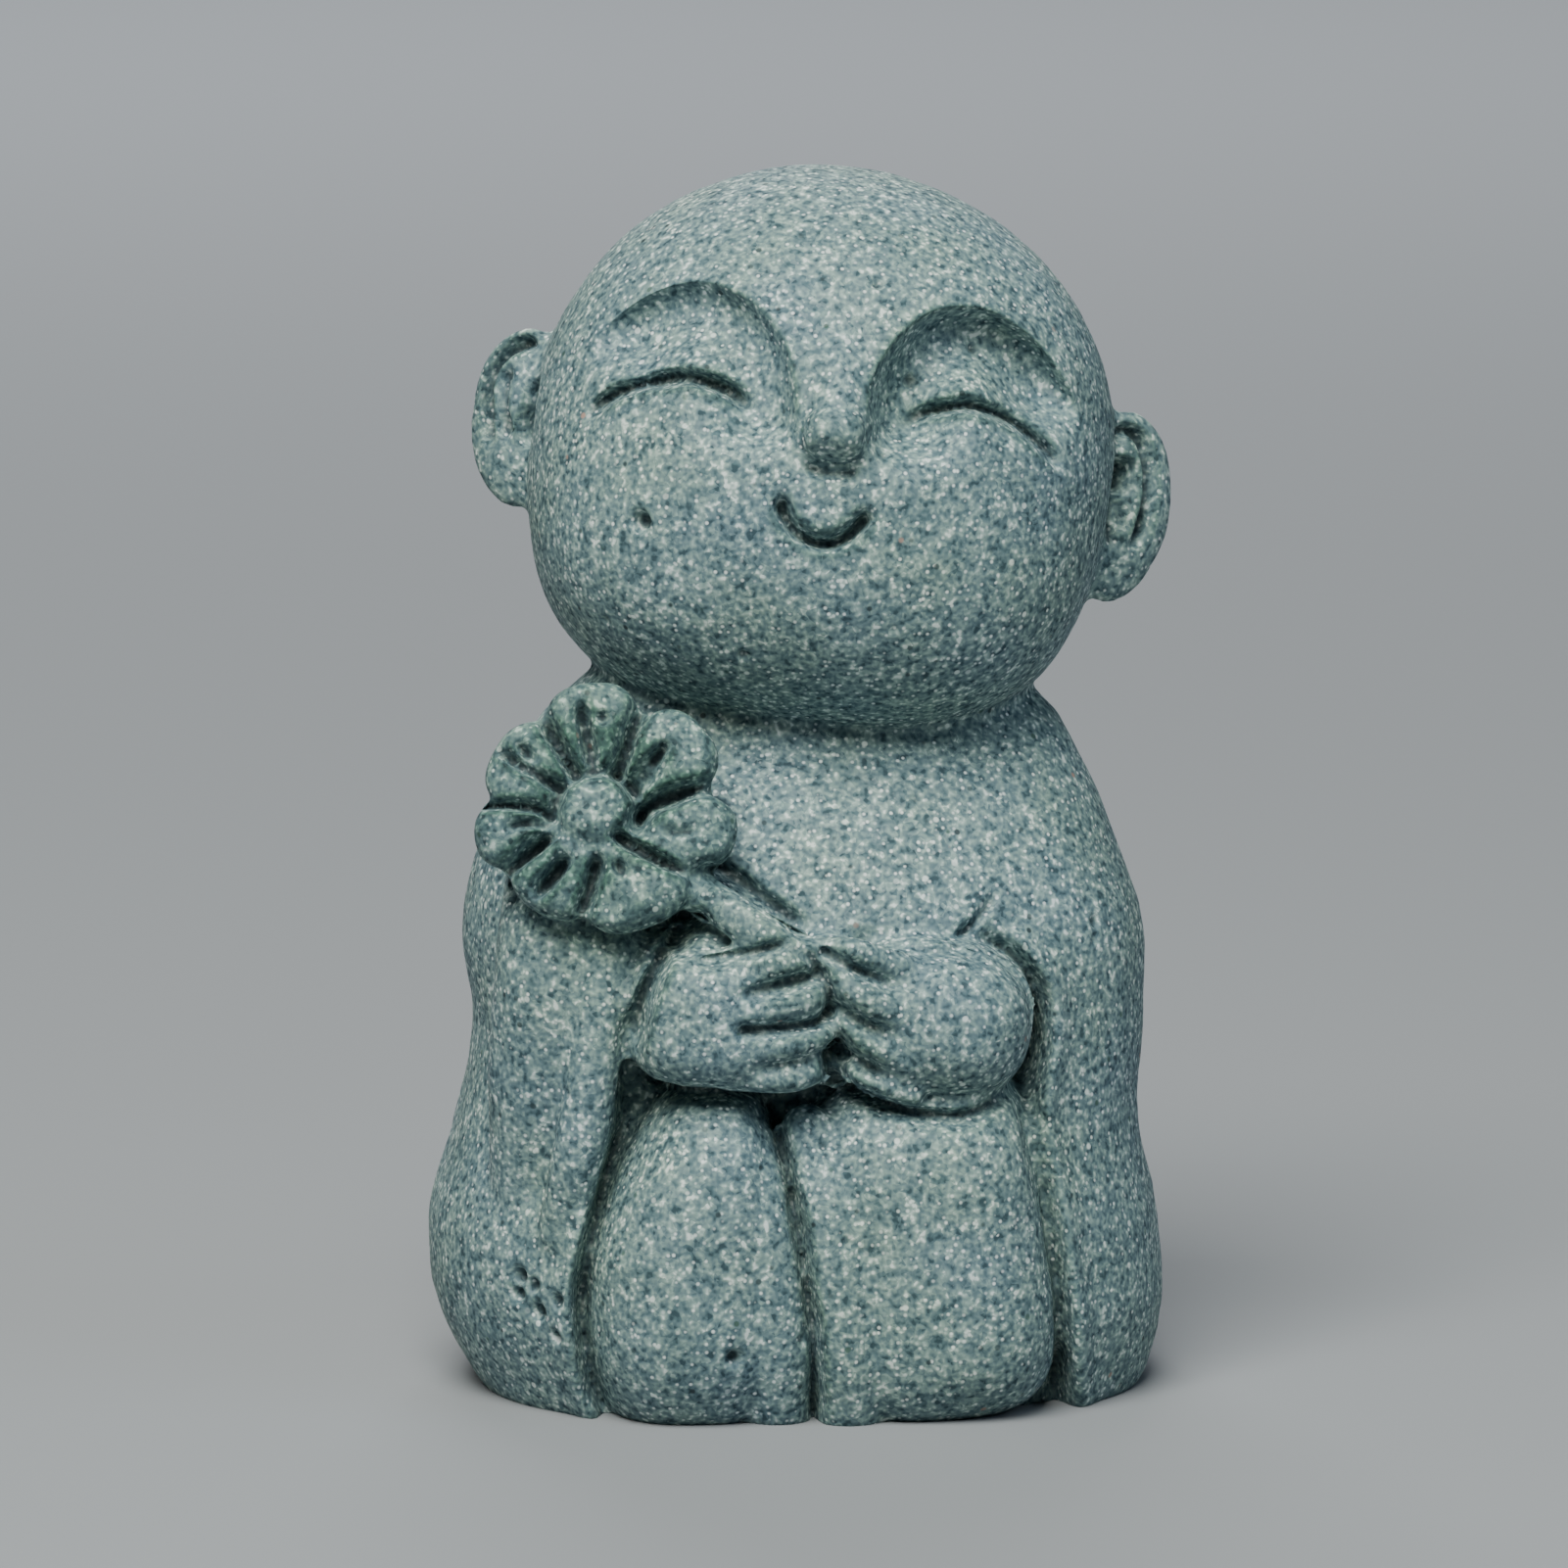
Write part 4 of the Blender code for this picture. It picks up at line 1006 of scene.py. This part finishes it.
def reckon(tree: Tree, operation: str, *values: Socket | float, held: bool = False) -> Socket:
    """Does a sum on values and sockets; held keeps the result from 0 to 1."""
    settings = {"operation": operation, "use_clamp": held}
    return add_node(tree, "ShaderNodeMath", settings, dict(enumerate(values))).outputs[0]


def remap(tree: Tree, value: Socket, source: Point2, target: Point2 = (0.0, 1.0)) -> Socket:
    """Brings a value from one range to another."""
    ends = dict(enumerate((*source, *target), start=1))
    return add_node(tree, "ShaderNodeMapRange", inputs={0: value, **ends}).outputs[0]


def mix(tree: Tree, share: Socket | float, under: Socket, over: Socket | Point4,
        blend: str = "MIX") -> Socket:
    """Lays a colour over another, or multiplies them, by a share."""
    return add_node(tree, "ShaderNodeMix", {"data_type": "RGBA", "blend_type": blend},
                    {0: share, 6: under, 7: over}).outputs[2]


def ramp(tree: Tree, value: Socket, stops: Sequence[tuple[float, str]], mode: str = "LINEAR") -> Socket:
    """Turns a value to a colour.

    Args:
        tree: Node tree to add to.
        value: The value, from 0 to 1.
        stops: The colours, as (position, sRGB hex).
        mode: How it goes from one to the next.

    Returns:
        The colour.
    """
    node = add_node(tree, "ShaderNodeValToRGB", inputs={0: value})
    scale = node.color_ramp
    scale.interpolation = mode
    while len(scale.elements) < len(stops):
        scale.elements.new(1.0)
    for element, (position, colour) in zip(scale.elements, stops):
        element.position = position
        element.color = linear(colour)
    return node.outputs[0]


def cells(tree: Tree, at: Socket, size: float) -> bpy.types.Node:
    """Divides the stone into cells of a size in millimetres."""
    return add_node(tree, "ShaderNodeTexVoronoi", {"feature": "F1"},
                    {"Vector": at, "Scale": 1 / (METRES * size)})


def clouds(tree: Tree, at: Socket, size: float, detail: float, fineness: float = 0.5) -> Socket:
    """Varies smoothly through the stone, over a size in millimetres."""
    return add_node(tree, "ShaderNodeTexNoise", inputs={
        "Vector": at, "Scale": 1 / (METRES * size), "Detail": detail, "Roughness": fineness}).outputs[0]


@dataclass(frozen=True)
class BondedSandstone:
    """Sandstone grains bonded with resin, cast in a rubber mould: matt, speckled, grey-green."""

    name: str = "bonded_sandstone_cast"
    # Sizes in millimetres: clumps of sand, single grains, pale specks, larger flakes, slow clouds
    clump: float = 0.64
    grain: float = 0.34
    speck: float = 0.48
    flake: float = 0.95
    mottle: float = 9.0
    # Height of the grain in millimetres, and how much of it shows
    relief: float = 0.06
    relief_share: float = 0.8
    clump_contrast: float = 2.0
    clump_fineness: float = 0.8
    grain_contrast: float = 0.42
    # Roughness of the dullest and of the glossiest grains
    roughness: Point2 = (0.90, 0.58)
    ior: float = 1.5
    grains: tuple[tuple[float, str], ...] = (
        (0.0, "2e4750"), (0.22, "4f6971"), (0.45, "687f85"), (0.66, "7e9694"),
        (0.82, "98adaa"), (0.95, "bccbc8"), (1.0, "dbe4e2"))
    flakes: tuple[tuple[float, str], ...] = (
        (0.0, "22363c"), (0.34, "3d5a52"), (0.46, "a3847b"), (0.50, "dfe7e5"))
    specks: str = "eef3f2"
    speck_share: float = 0.44
    flake_share: float = 0.16
    # Where a dot ends and where it is full, in shares of its size
    speck_edge: Point2 = (0.35, 0.16)
    flake_edge: Point2 = (0.27, 0.17)
    # Below 1, most of the kept dots show in full
    dot_fade: float = 0.4
    mottles: tuple[tuple[float, str], ...] = ((0.30, "e4ecf2"), (0.70, "eef4ea"))
    resin: str = "90b2a4"
    # Near-black colour of the shade painted into the grooves
    painted_shade: str = "10232a"

    def build(self) -> bpy.types.Material:
        """Builds the stone.

        The eye sees fine sand of many greys, pale and dark specks, greener edges where
        resin gathers and the mould was fullest, and near-black painted shade in the grooves.

        Returns:
            The material.
        """
        stone = bpy.data.materials.new(self.name)
        stone.use_nodes = True
        tree = stone.node_tree
        shader = tree.nodes["Principled BSDF"]
        shader.inputs["IOR"].default_value = self.ior
        at = add_node(tree, "ShaderNodeTexCoord").outputs["Object"]
        sand = add_node(tree, "ShaderNodeSeparateColor", inputs={
            0: cells(tree, at, self.grain).outputs["Color"]}).outputs[0]
        middle = 0.5 - 0.5 * (self.clump_contrast + self.grain_contrast)
        clumps = clouds(tree, at, self.clump, 1.0, self.clump_fineness)
        tone = reckon(tree, "MULTIPLY_ADD", clumps, self.clump_contrast, middle)
        tone = reckon(tree, "MULTIPLY_ADD", sand, self.grain_contrast, tone, held=True)
        colour = ramp(tree, tone, self.grains)
        # Small pale specks of quartz among the sand
        dots, _ = self.scatter(tree, at, self.speck, self.speck_share, self.speck_edge)
        colour = mix(tree, dots, colour, linear(self.specks))
        # Larger flakes, dark, pale and a few brick-red
        dots, kind = self.scatter(tree, at, self.flake, self.flake_share, self.flake_edge)
        colour = mix(tree, dots, colour, ramp(tree, kind, self.flakes, "CONSTANT"))
        # Bluer and greener over some millimetres
        cloud = clouds(tree, at, self.mottle, 3.0)
        colour = mix(tree, 1.0, colour, ramp(tree, cloud, self.mottles), "MULTIPLY")
        # Greener where resin is rich; near-black painted shade laid into the grooves
        resin, painted_shade = (
            add_node(tree, "ShaderNodeAttribute", {"attribute_name": held}).outputs["Fac"]
            for held in (StoneSurface.RESIN, StoneSurface.PAINTED_SHADE))
        colour = mix(tree, resin, colour, linear(self.resin), "MULTIPLY")
        colour = mix(tree, painted_shade, colour, linear(self.painted_shade))
        tree.links.new(colour, shader.inputs["Base Color"])
        bump = add_node(tree, "ShaderNodeBump", inputs={
            "Strength": self.relief_share, "Distance": self.relief * METRES, "Height": tone})
        tree.links.new(bump.outputs[0], shader.inputs["Normal"])
        tree.links.new(remap(tree, sand, (0.0, 1.0), self.roughness), shader.inputs["Roughness"])
        return stone

    def scatter(self, tree: Tree, at: Socket, size: float, share: float,
                edge: Point2) -> tuple[Socket, Socket]:
        """Scatters soft round dots through the stone.

        Args:
            tree: Node tree of the stone.
            at: Place in the stone, in metres.
            size: Mean distance between dots in millimetres, before some are left out.
            share: Share of the dots that is kept.
            edge: Where a dot ends and where it is full, in shares of the size.

        Returns:
            How much of a dot each place holds, and a random value for each dot.
        """
        spots = cells(tree, at, size)
        pick = add_node(tree, "ShaderNodeSeparateColor", inputs={0: spots.outputs["Color"]})
        near = remap(tree, spots.outputs["Distance"], edge)
        kept = reckon(tree, "POWER", remap(tree, pick.outputs[2], (1 - share, 1.0)), self.dot_fade)
        return reckon(tree, "MULTIPLY", near, kept), pick.outputs[0]


@dataclass(frozen=True)
class PaintedFloor:
    """Smooth matt-painted board: pale, even, with no shine."""

    name: str = "matt_painted_board"
    colour: str = "84898e"
    roughness: float = 0.85

    def build(self) -> bpy.types.Material:
        """Builds the floor's paint: one even tone that takes soft shadows.

        Returns:
            The material.
        """
        paint = bpy.data.materials.new(self.name)
        paint.use_nodes = True
        shader = paint.node_tree.nodes["Principled BSDF"]
        shader.inputs["Base Color"].default_value = linear(self.colour)
        shader.inputs["Roughness"].default_value = self.roughness
        return paint


# The casting ---------------------------------------------------------------------


@dataclass
class StoneSurface:
    """The look of the cast surface: uneven skin, air holes, where resin lies, and the shade painted into
    its grooves.
    """

    RESIN = "resin"
    PAINTED_SHADE = "painted_shade"
    # Unevenness of the skin, as (size, height), how far it sinks to hold that, and the heights
    # above the base between which it sets in
    swell: tuple[Point2, ...] = ((6.0, 0.10), (2.4, 0.06), (1.1, 0.04))
    sink: float = 0.13
    foot: Point2 = (0.3, 2.0)
    # Air holes that the photograph shows, as (x, z, radius) on the front
    pits: tuple[Point3, ...] = (
        (-6.0, 5.0, 0.50), (-21.0, 10.0, 0.50), (-21.2, 8.5, 0.46), (-19.8, 7.4, 0.50),
        (-18.6, 5.6, 0.42), (-18.6, 8.5, 0.48), (-20.1, 9.3, 0.40), (-15.0, 49.0, 0.42),
        (-12.7, 61.7, 0.62), (4.2, 78.1, 0.32), (6.6, 71.3, 0.34), (4.3, 66.5, 0.32),
    )
    pit_depth: float = 2.0
    pit_search: float = 0.4
    # Smaller chance ones, above the lowest height; depths are in radii
    holes: int = 44
    hole_radii: Point2 = (0.22, 0.36)
    hole_depth: float = 1.5
    lowest_hole: float = 1.5
    seed: int = 11
    # Rounds of evening that edges and grooves are measured against, and how far they stand out
    reach_steps: int = 14
    edges: Point2 = (0.04, 0.2)
    grooves: Point2 = (0.05, 0.32)
    # Where the flower ends, its depth counting more; resin of the flower and of the edges
    bloom: Point2 = (9.0, 11.0)
    bloom_stretch: Point3 = (1, 1.6, 1)
    resin_shares: Point2 = (0.4, 0.6)
    # Darkness of the shade painted into the grooves, and how much darker it is painted in the flower
    painted_shade_shares: Point2 = (0.7, 0.2)

    def pierce(self, skin: CastSkin) -> None:
        """Sinks air holes where the photograph shows them and a few by chance.

        Args:
            skin: The carved skin.
        """
        for x, z, radius in self.pits:
            away = np.hypot(skin.points[:, 0] - x, skin.points[:, 2] - z)
            front = np.where(away < self.pit_search, skin.points[:, 1], np.inf).argmin()
            skin.pit(skin.points[front].copy(), radius, self.pit_depth * radius)
        draw = np.random.default_rng(self.seed)
        spots = skin.points[draw.integers(0, len(skin.points), self.holes)].copy()
        for spot, radius in zip(spots, draw.uniform(*self.hole_radii, self.holes)):
            if spot[2] > self.lowest_hole:
                skin.pit(spot, radius, self.hole_depth * radius)

    def mark(self, mesh: bpy.types.Mesh, flower: Matrix) -> None:
        """Stores where the resin is rich, and how much shade to paint where the skin is recessed.

        Args:
            mesh: The carved skin, in millimetres.
            flower: The flower's frame.
        """
        skin = CastSkin(mesh)
        height = ((skin.points - skin.softened(self.reach_steps)) * skin.normals).sum(axis=1)
        away = np.linalg.norm(skin.seen_from(flower) * self.bloom_stretch, axis=1)
        bloom = 1 - step(away, *self.bloom)
        resin = self.resin_shares[0] * bloom + self.resin_shares[1] * step(height, *self.edges)
        # Painted shade: the grooves are darkened, the flower's more
        painted_shade = self.painted_shade_shares[0] + self.painted_shade_shares[1] * bloom
        painted_shade = painted_shade * step(-height, *self.grooves)
        for name, values in ((self.RESIN, resin), (self.PAINTED_SHADE, painted_shade)):
            held = mesh.attributes.new(name, "FLOAT", "POINT")
            held.data.foreach_set("value", values.astype(np.float32))

    def roughen(self, mesh: bpy.types.Mesh) -> None:
        """Gives the skin the slight unevenness of sand against the mould.

        Args:
            mesh: The skin's mesh, in millimetres.
        """
        skin = CastSkin(mesh)
        rise = sum(depth * rough(skin.points, size, i) for i, (size, depth) in enumerate(self.swell))
        above = step(skin.points[:, 2], *self.foot)
        skin.points += ((rise - self.sink) * above)[:, None] * skin.normals
        skin.store()


@dataclass
class MonkStatue:
    """The whole casting: its parts, its skin and its finish."""

    name: str = "monk_casting"
    head_place: Matrix = field(default_factory=lambda: turned((1.6, 0.5, 64.8), pitch=-9, roll=7, yaw=-5))
    flower_place: Matrix = field(default_factory=lambda: turned((-15.0, -18.0, 42.3), pitch=-16, yaw=-6))
    body: Matrix = field(default_factory=lambda: Matrix.Identity(4))
    cell: float = 0.26
    softening: int = 12
    wear: float = 0.5
    settling: int = 2
    triangles: int = 190_000
    # Distance within which the flat base takes up points of the skin
    base_seam: float = 1e-4
    surface: StoneSurface = field(default_factory=StoneSurface)
    finish: BondedSandstone = field(default_factory=BondedSandstone)

    def parts(self) -> list[Carving]:
        """The sub-assemblies of the casting, in the order that they are carved."""
        return [Head(self.head_place), Daisy(self.flower_place, body=self.body), Robe(self.body),
                Legs(self.body), Hands(self.body)]

    def build(self) -> Object:
        """Builds and dresses the casting.

        Returns:
            The finished piece, in metres.
        """
        parts = self.parts()
        masses = [mass for part in parts for mass in part.masses()]
        figure = self.run_together(masses)
        skin = CastSkin(figure.data)
        for part in parts:
            part.carve(skin)
            LOG.info("carved %s", type(part).__name__)
        self.surface.pierce(skin)
        skin.settle(self.settling)
        skin.store()
        self.surface.mark(figure.data, self.flower_place)
        self.thin(figure)
        self.surface.roughen(figure.data)
        self.cut_flat(figure.data)
        figure.data.transform(Matrix.Scale(METRES, 4))
        figure.data.shade_smooth()
        figure.data.materials.clear()
        figure.data.materials.append(self.finish.build())
        return figure

    def run_together(self, masses: Iterable[Object]) -> Object:
        """Joins the masses and runs them into one soft skin.

        Args:
            masses: Objects to join; they are removed.

        Returns:
            One object with a closed skin, in millimetres.
        """
        work = bmesh.new()
        for mass in masses:
            mesh = mass.data
            mesh.transform(mass.matrix_world)
            if mass.matrix_world.determinant() < 0:
                mesh.flip_normals()
            work.from_mesh(mesh)
            bpy.data.objects.remove(mass)
            bpy.data.meshes.remove(mesh)
        whole = bpy.data.meshes.new(self.name)
        work.to_mesh(whole)
        work.free()
        figure = linked(self.name, whole, Matrix.Identity(4))
        remesh = figure.modifiers.new("one skin", "REMESH")
        remesh.mode = "VOXEL"
        remesh.voxel_size = self.cell
        worn = figure.modifiers.new("worn", "SMOOTH")
        worn.factor = self.wear
        worn.iterations = self.softening
        self.fix_modifiers(figure)
        return figure

    def thin(self, figure: Object) -> None:
        """Thins the skin to its number of triangles, least where the form turns most.

        Args:
            figure: The casting; each of its faces counts as two triangles.
        """
        thin = figure.modifiers.new("thin", "DECIMATE")
        thin.ratio = min(1.0, self.triangles / (2 * len(figure.data.polygons)))
        self.fix_modifiers(figure)

    def fix_modifiers(self, figure: Object) -> None:
        """Turns what the modifiers show into the figure's own mesh."""
        figure.data = settled_mesh(figure)
        figure.modifiers.clear()

    def cut_flat(self, mesh: bpy.types.Mesh) -> None:
        """Cuts the casting flat at z = 0 and closes its underside.

        Args:
            mesh: The skin's mesh, in millimetres.
        """
        work = bmesh.new()
        work.from_mesh(mesh)
        everything = work.verts[:] + work.edges[:] + work.faces[:]
        cut = bmesh.ops.bisect_plane(work, geom=everything, dist=self.base_seam, plane_co=(0, 0, 0),
                                     plane_no=(0, 0, 1), clear_inner=True)
        rim = [item for item in cut["geom_cut"] if isinstance(item, bmesh.types.BMEdge)]
        bmesh.ops.holes_fill(work, edges=rim)
        bmesh.ops.triangulate(work, faces=[f for f in work.faces if len(f.verts) > 3])
        bmesh.ops.recalc_face_normals(work, faces=work.faces[:])
        work.to_mesh(mesh)
        work.free()


# The studio ----------------------------------------------------------------------


def looking_back(away: Vector) -> Euler:
    """The turn of a light or camera that stands off in a direction and looks back."""
    return away.to_track_quat("Z", "Y").to_euler()


@dataclass(frozen=True)
class SoftBox:
    """A soft square studio light: its place, side in metres, power, colour and target."""

    name: str
    place: Point3
    side: float
    watts: float
    colour: str
    target: Point3 = FIGURE_MIDDLE

    def build(self) -> None:
        """Hangs the light, turned towards its target."""
        light = bpy.data.lights.new(self.name, "AREA")
        light.energy = self.watts
        light.size = self.side
        light.color = linear(self.colour)[:3]
        hung = linked(self.name, light)
        hung.location = Vector(self.place)
        hung.rotation_euler = looking_back(hung.location - Vector(self.target))


@dataclass
class Studio:
    """A pale floor, soft lights and the camera, in metres and degrees."""

    aim: Point3 = FIGURE_MIDDLE
    azimuth: float = -5.0
    elevation: float = 8.0
    distance: float = 0.80
    frame_width: float = 0.1089
    sensor: float = 36.0
    floor_side: float = 4.0
    ambient: str = "b0c4d4"
    ambient_strength: float = 0.045
    lights: tuple[SoftBox, ...] = (
        SoftBox("key_light", (-0.20, -0.54, 0.79), 0.58, 18.2, "fffdf4"),
        SoftBox("fill_light", (0.72, -0.50, 0.62), 0.60, 2.2, "dcecff"),
        SoftBox("backdrop_light", (0.0, 1.30, 0.90), 0.80, 16.0, "ffffff", (0.0, 1.30, 0.0)),
    )

    def build(self) -> None:
        """Builds the floor, the lights and the camera."""
        bpy.ops.mesh.primitive_plane_add(size=self.floor_side)
        floor = bpy.context.object
        floor.name = "studio_floor"
        floor.data.materials.append(PaintedFloor().build())
        for light in self.lights:
            light.build()
        world = bpy.data.worlds.new("studio_air")
        bpy.context.scene.world = world
        world.use_nodes = True
        background = world.node_tree.nodes["Background"]
        background.inputs["Color"].default_value = linear(self.ambient)
        background.inputs["Strength"].default_value = self.ambient_strength
        self.place_camera()

    def place_camera(self) -> None:
        """Sets up the camera at the photograph's viewing angle."""
        around, above = math.radians(self.azimuth), math.radians(self.elevation)
        away = Vector((math.sin(around) * math.cos(above), -math.cos(around) * math.cos(above),
                       math.sin(above)))
        camera = bpy.data.cameras.new("camera")
        camera.sensor_width = self.sensor
        camera.lens = self.sensor * self.distance / self.frame_width
        made = linked("camera", camera)
        made.location = Vector(self.aim) + away * self.distance
        made.rotation_euler = looking_back(away)
        bpy.context.scene.camera = made


def main() -> None:
    """Builds the casting and the studio."""
    logging.basicConfig(level=logging.INFO, format="%(message)s")
    figure = MonkStatue().build()
    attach(figure, "root")
    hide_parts(CAD_NODE)
    LOG.info("%s: %d triangles", figure.name, len(figure.data.polygons))
    Studio().build()


if __name__ == "__main__":
    main()
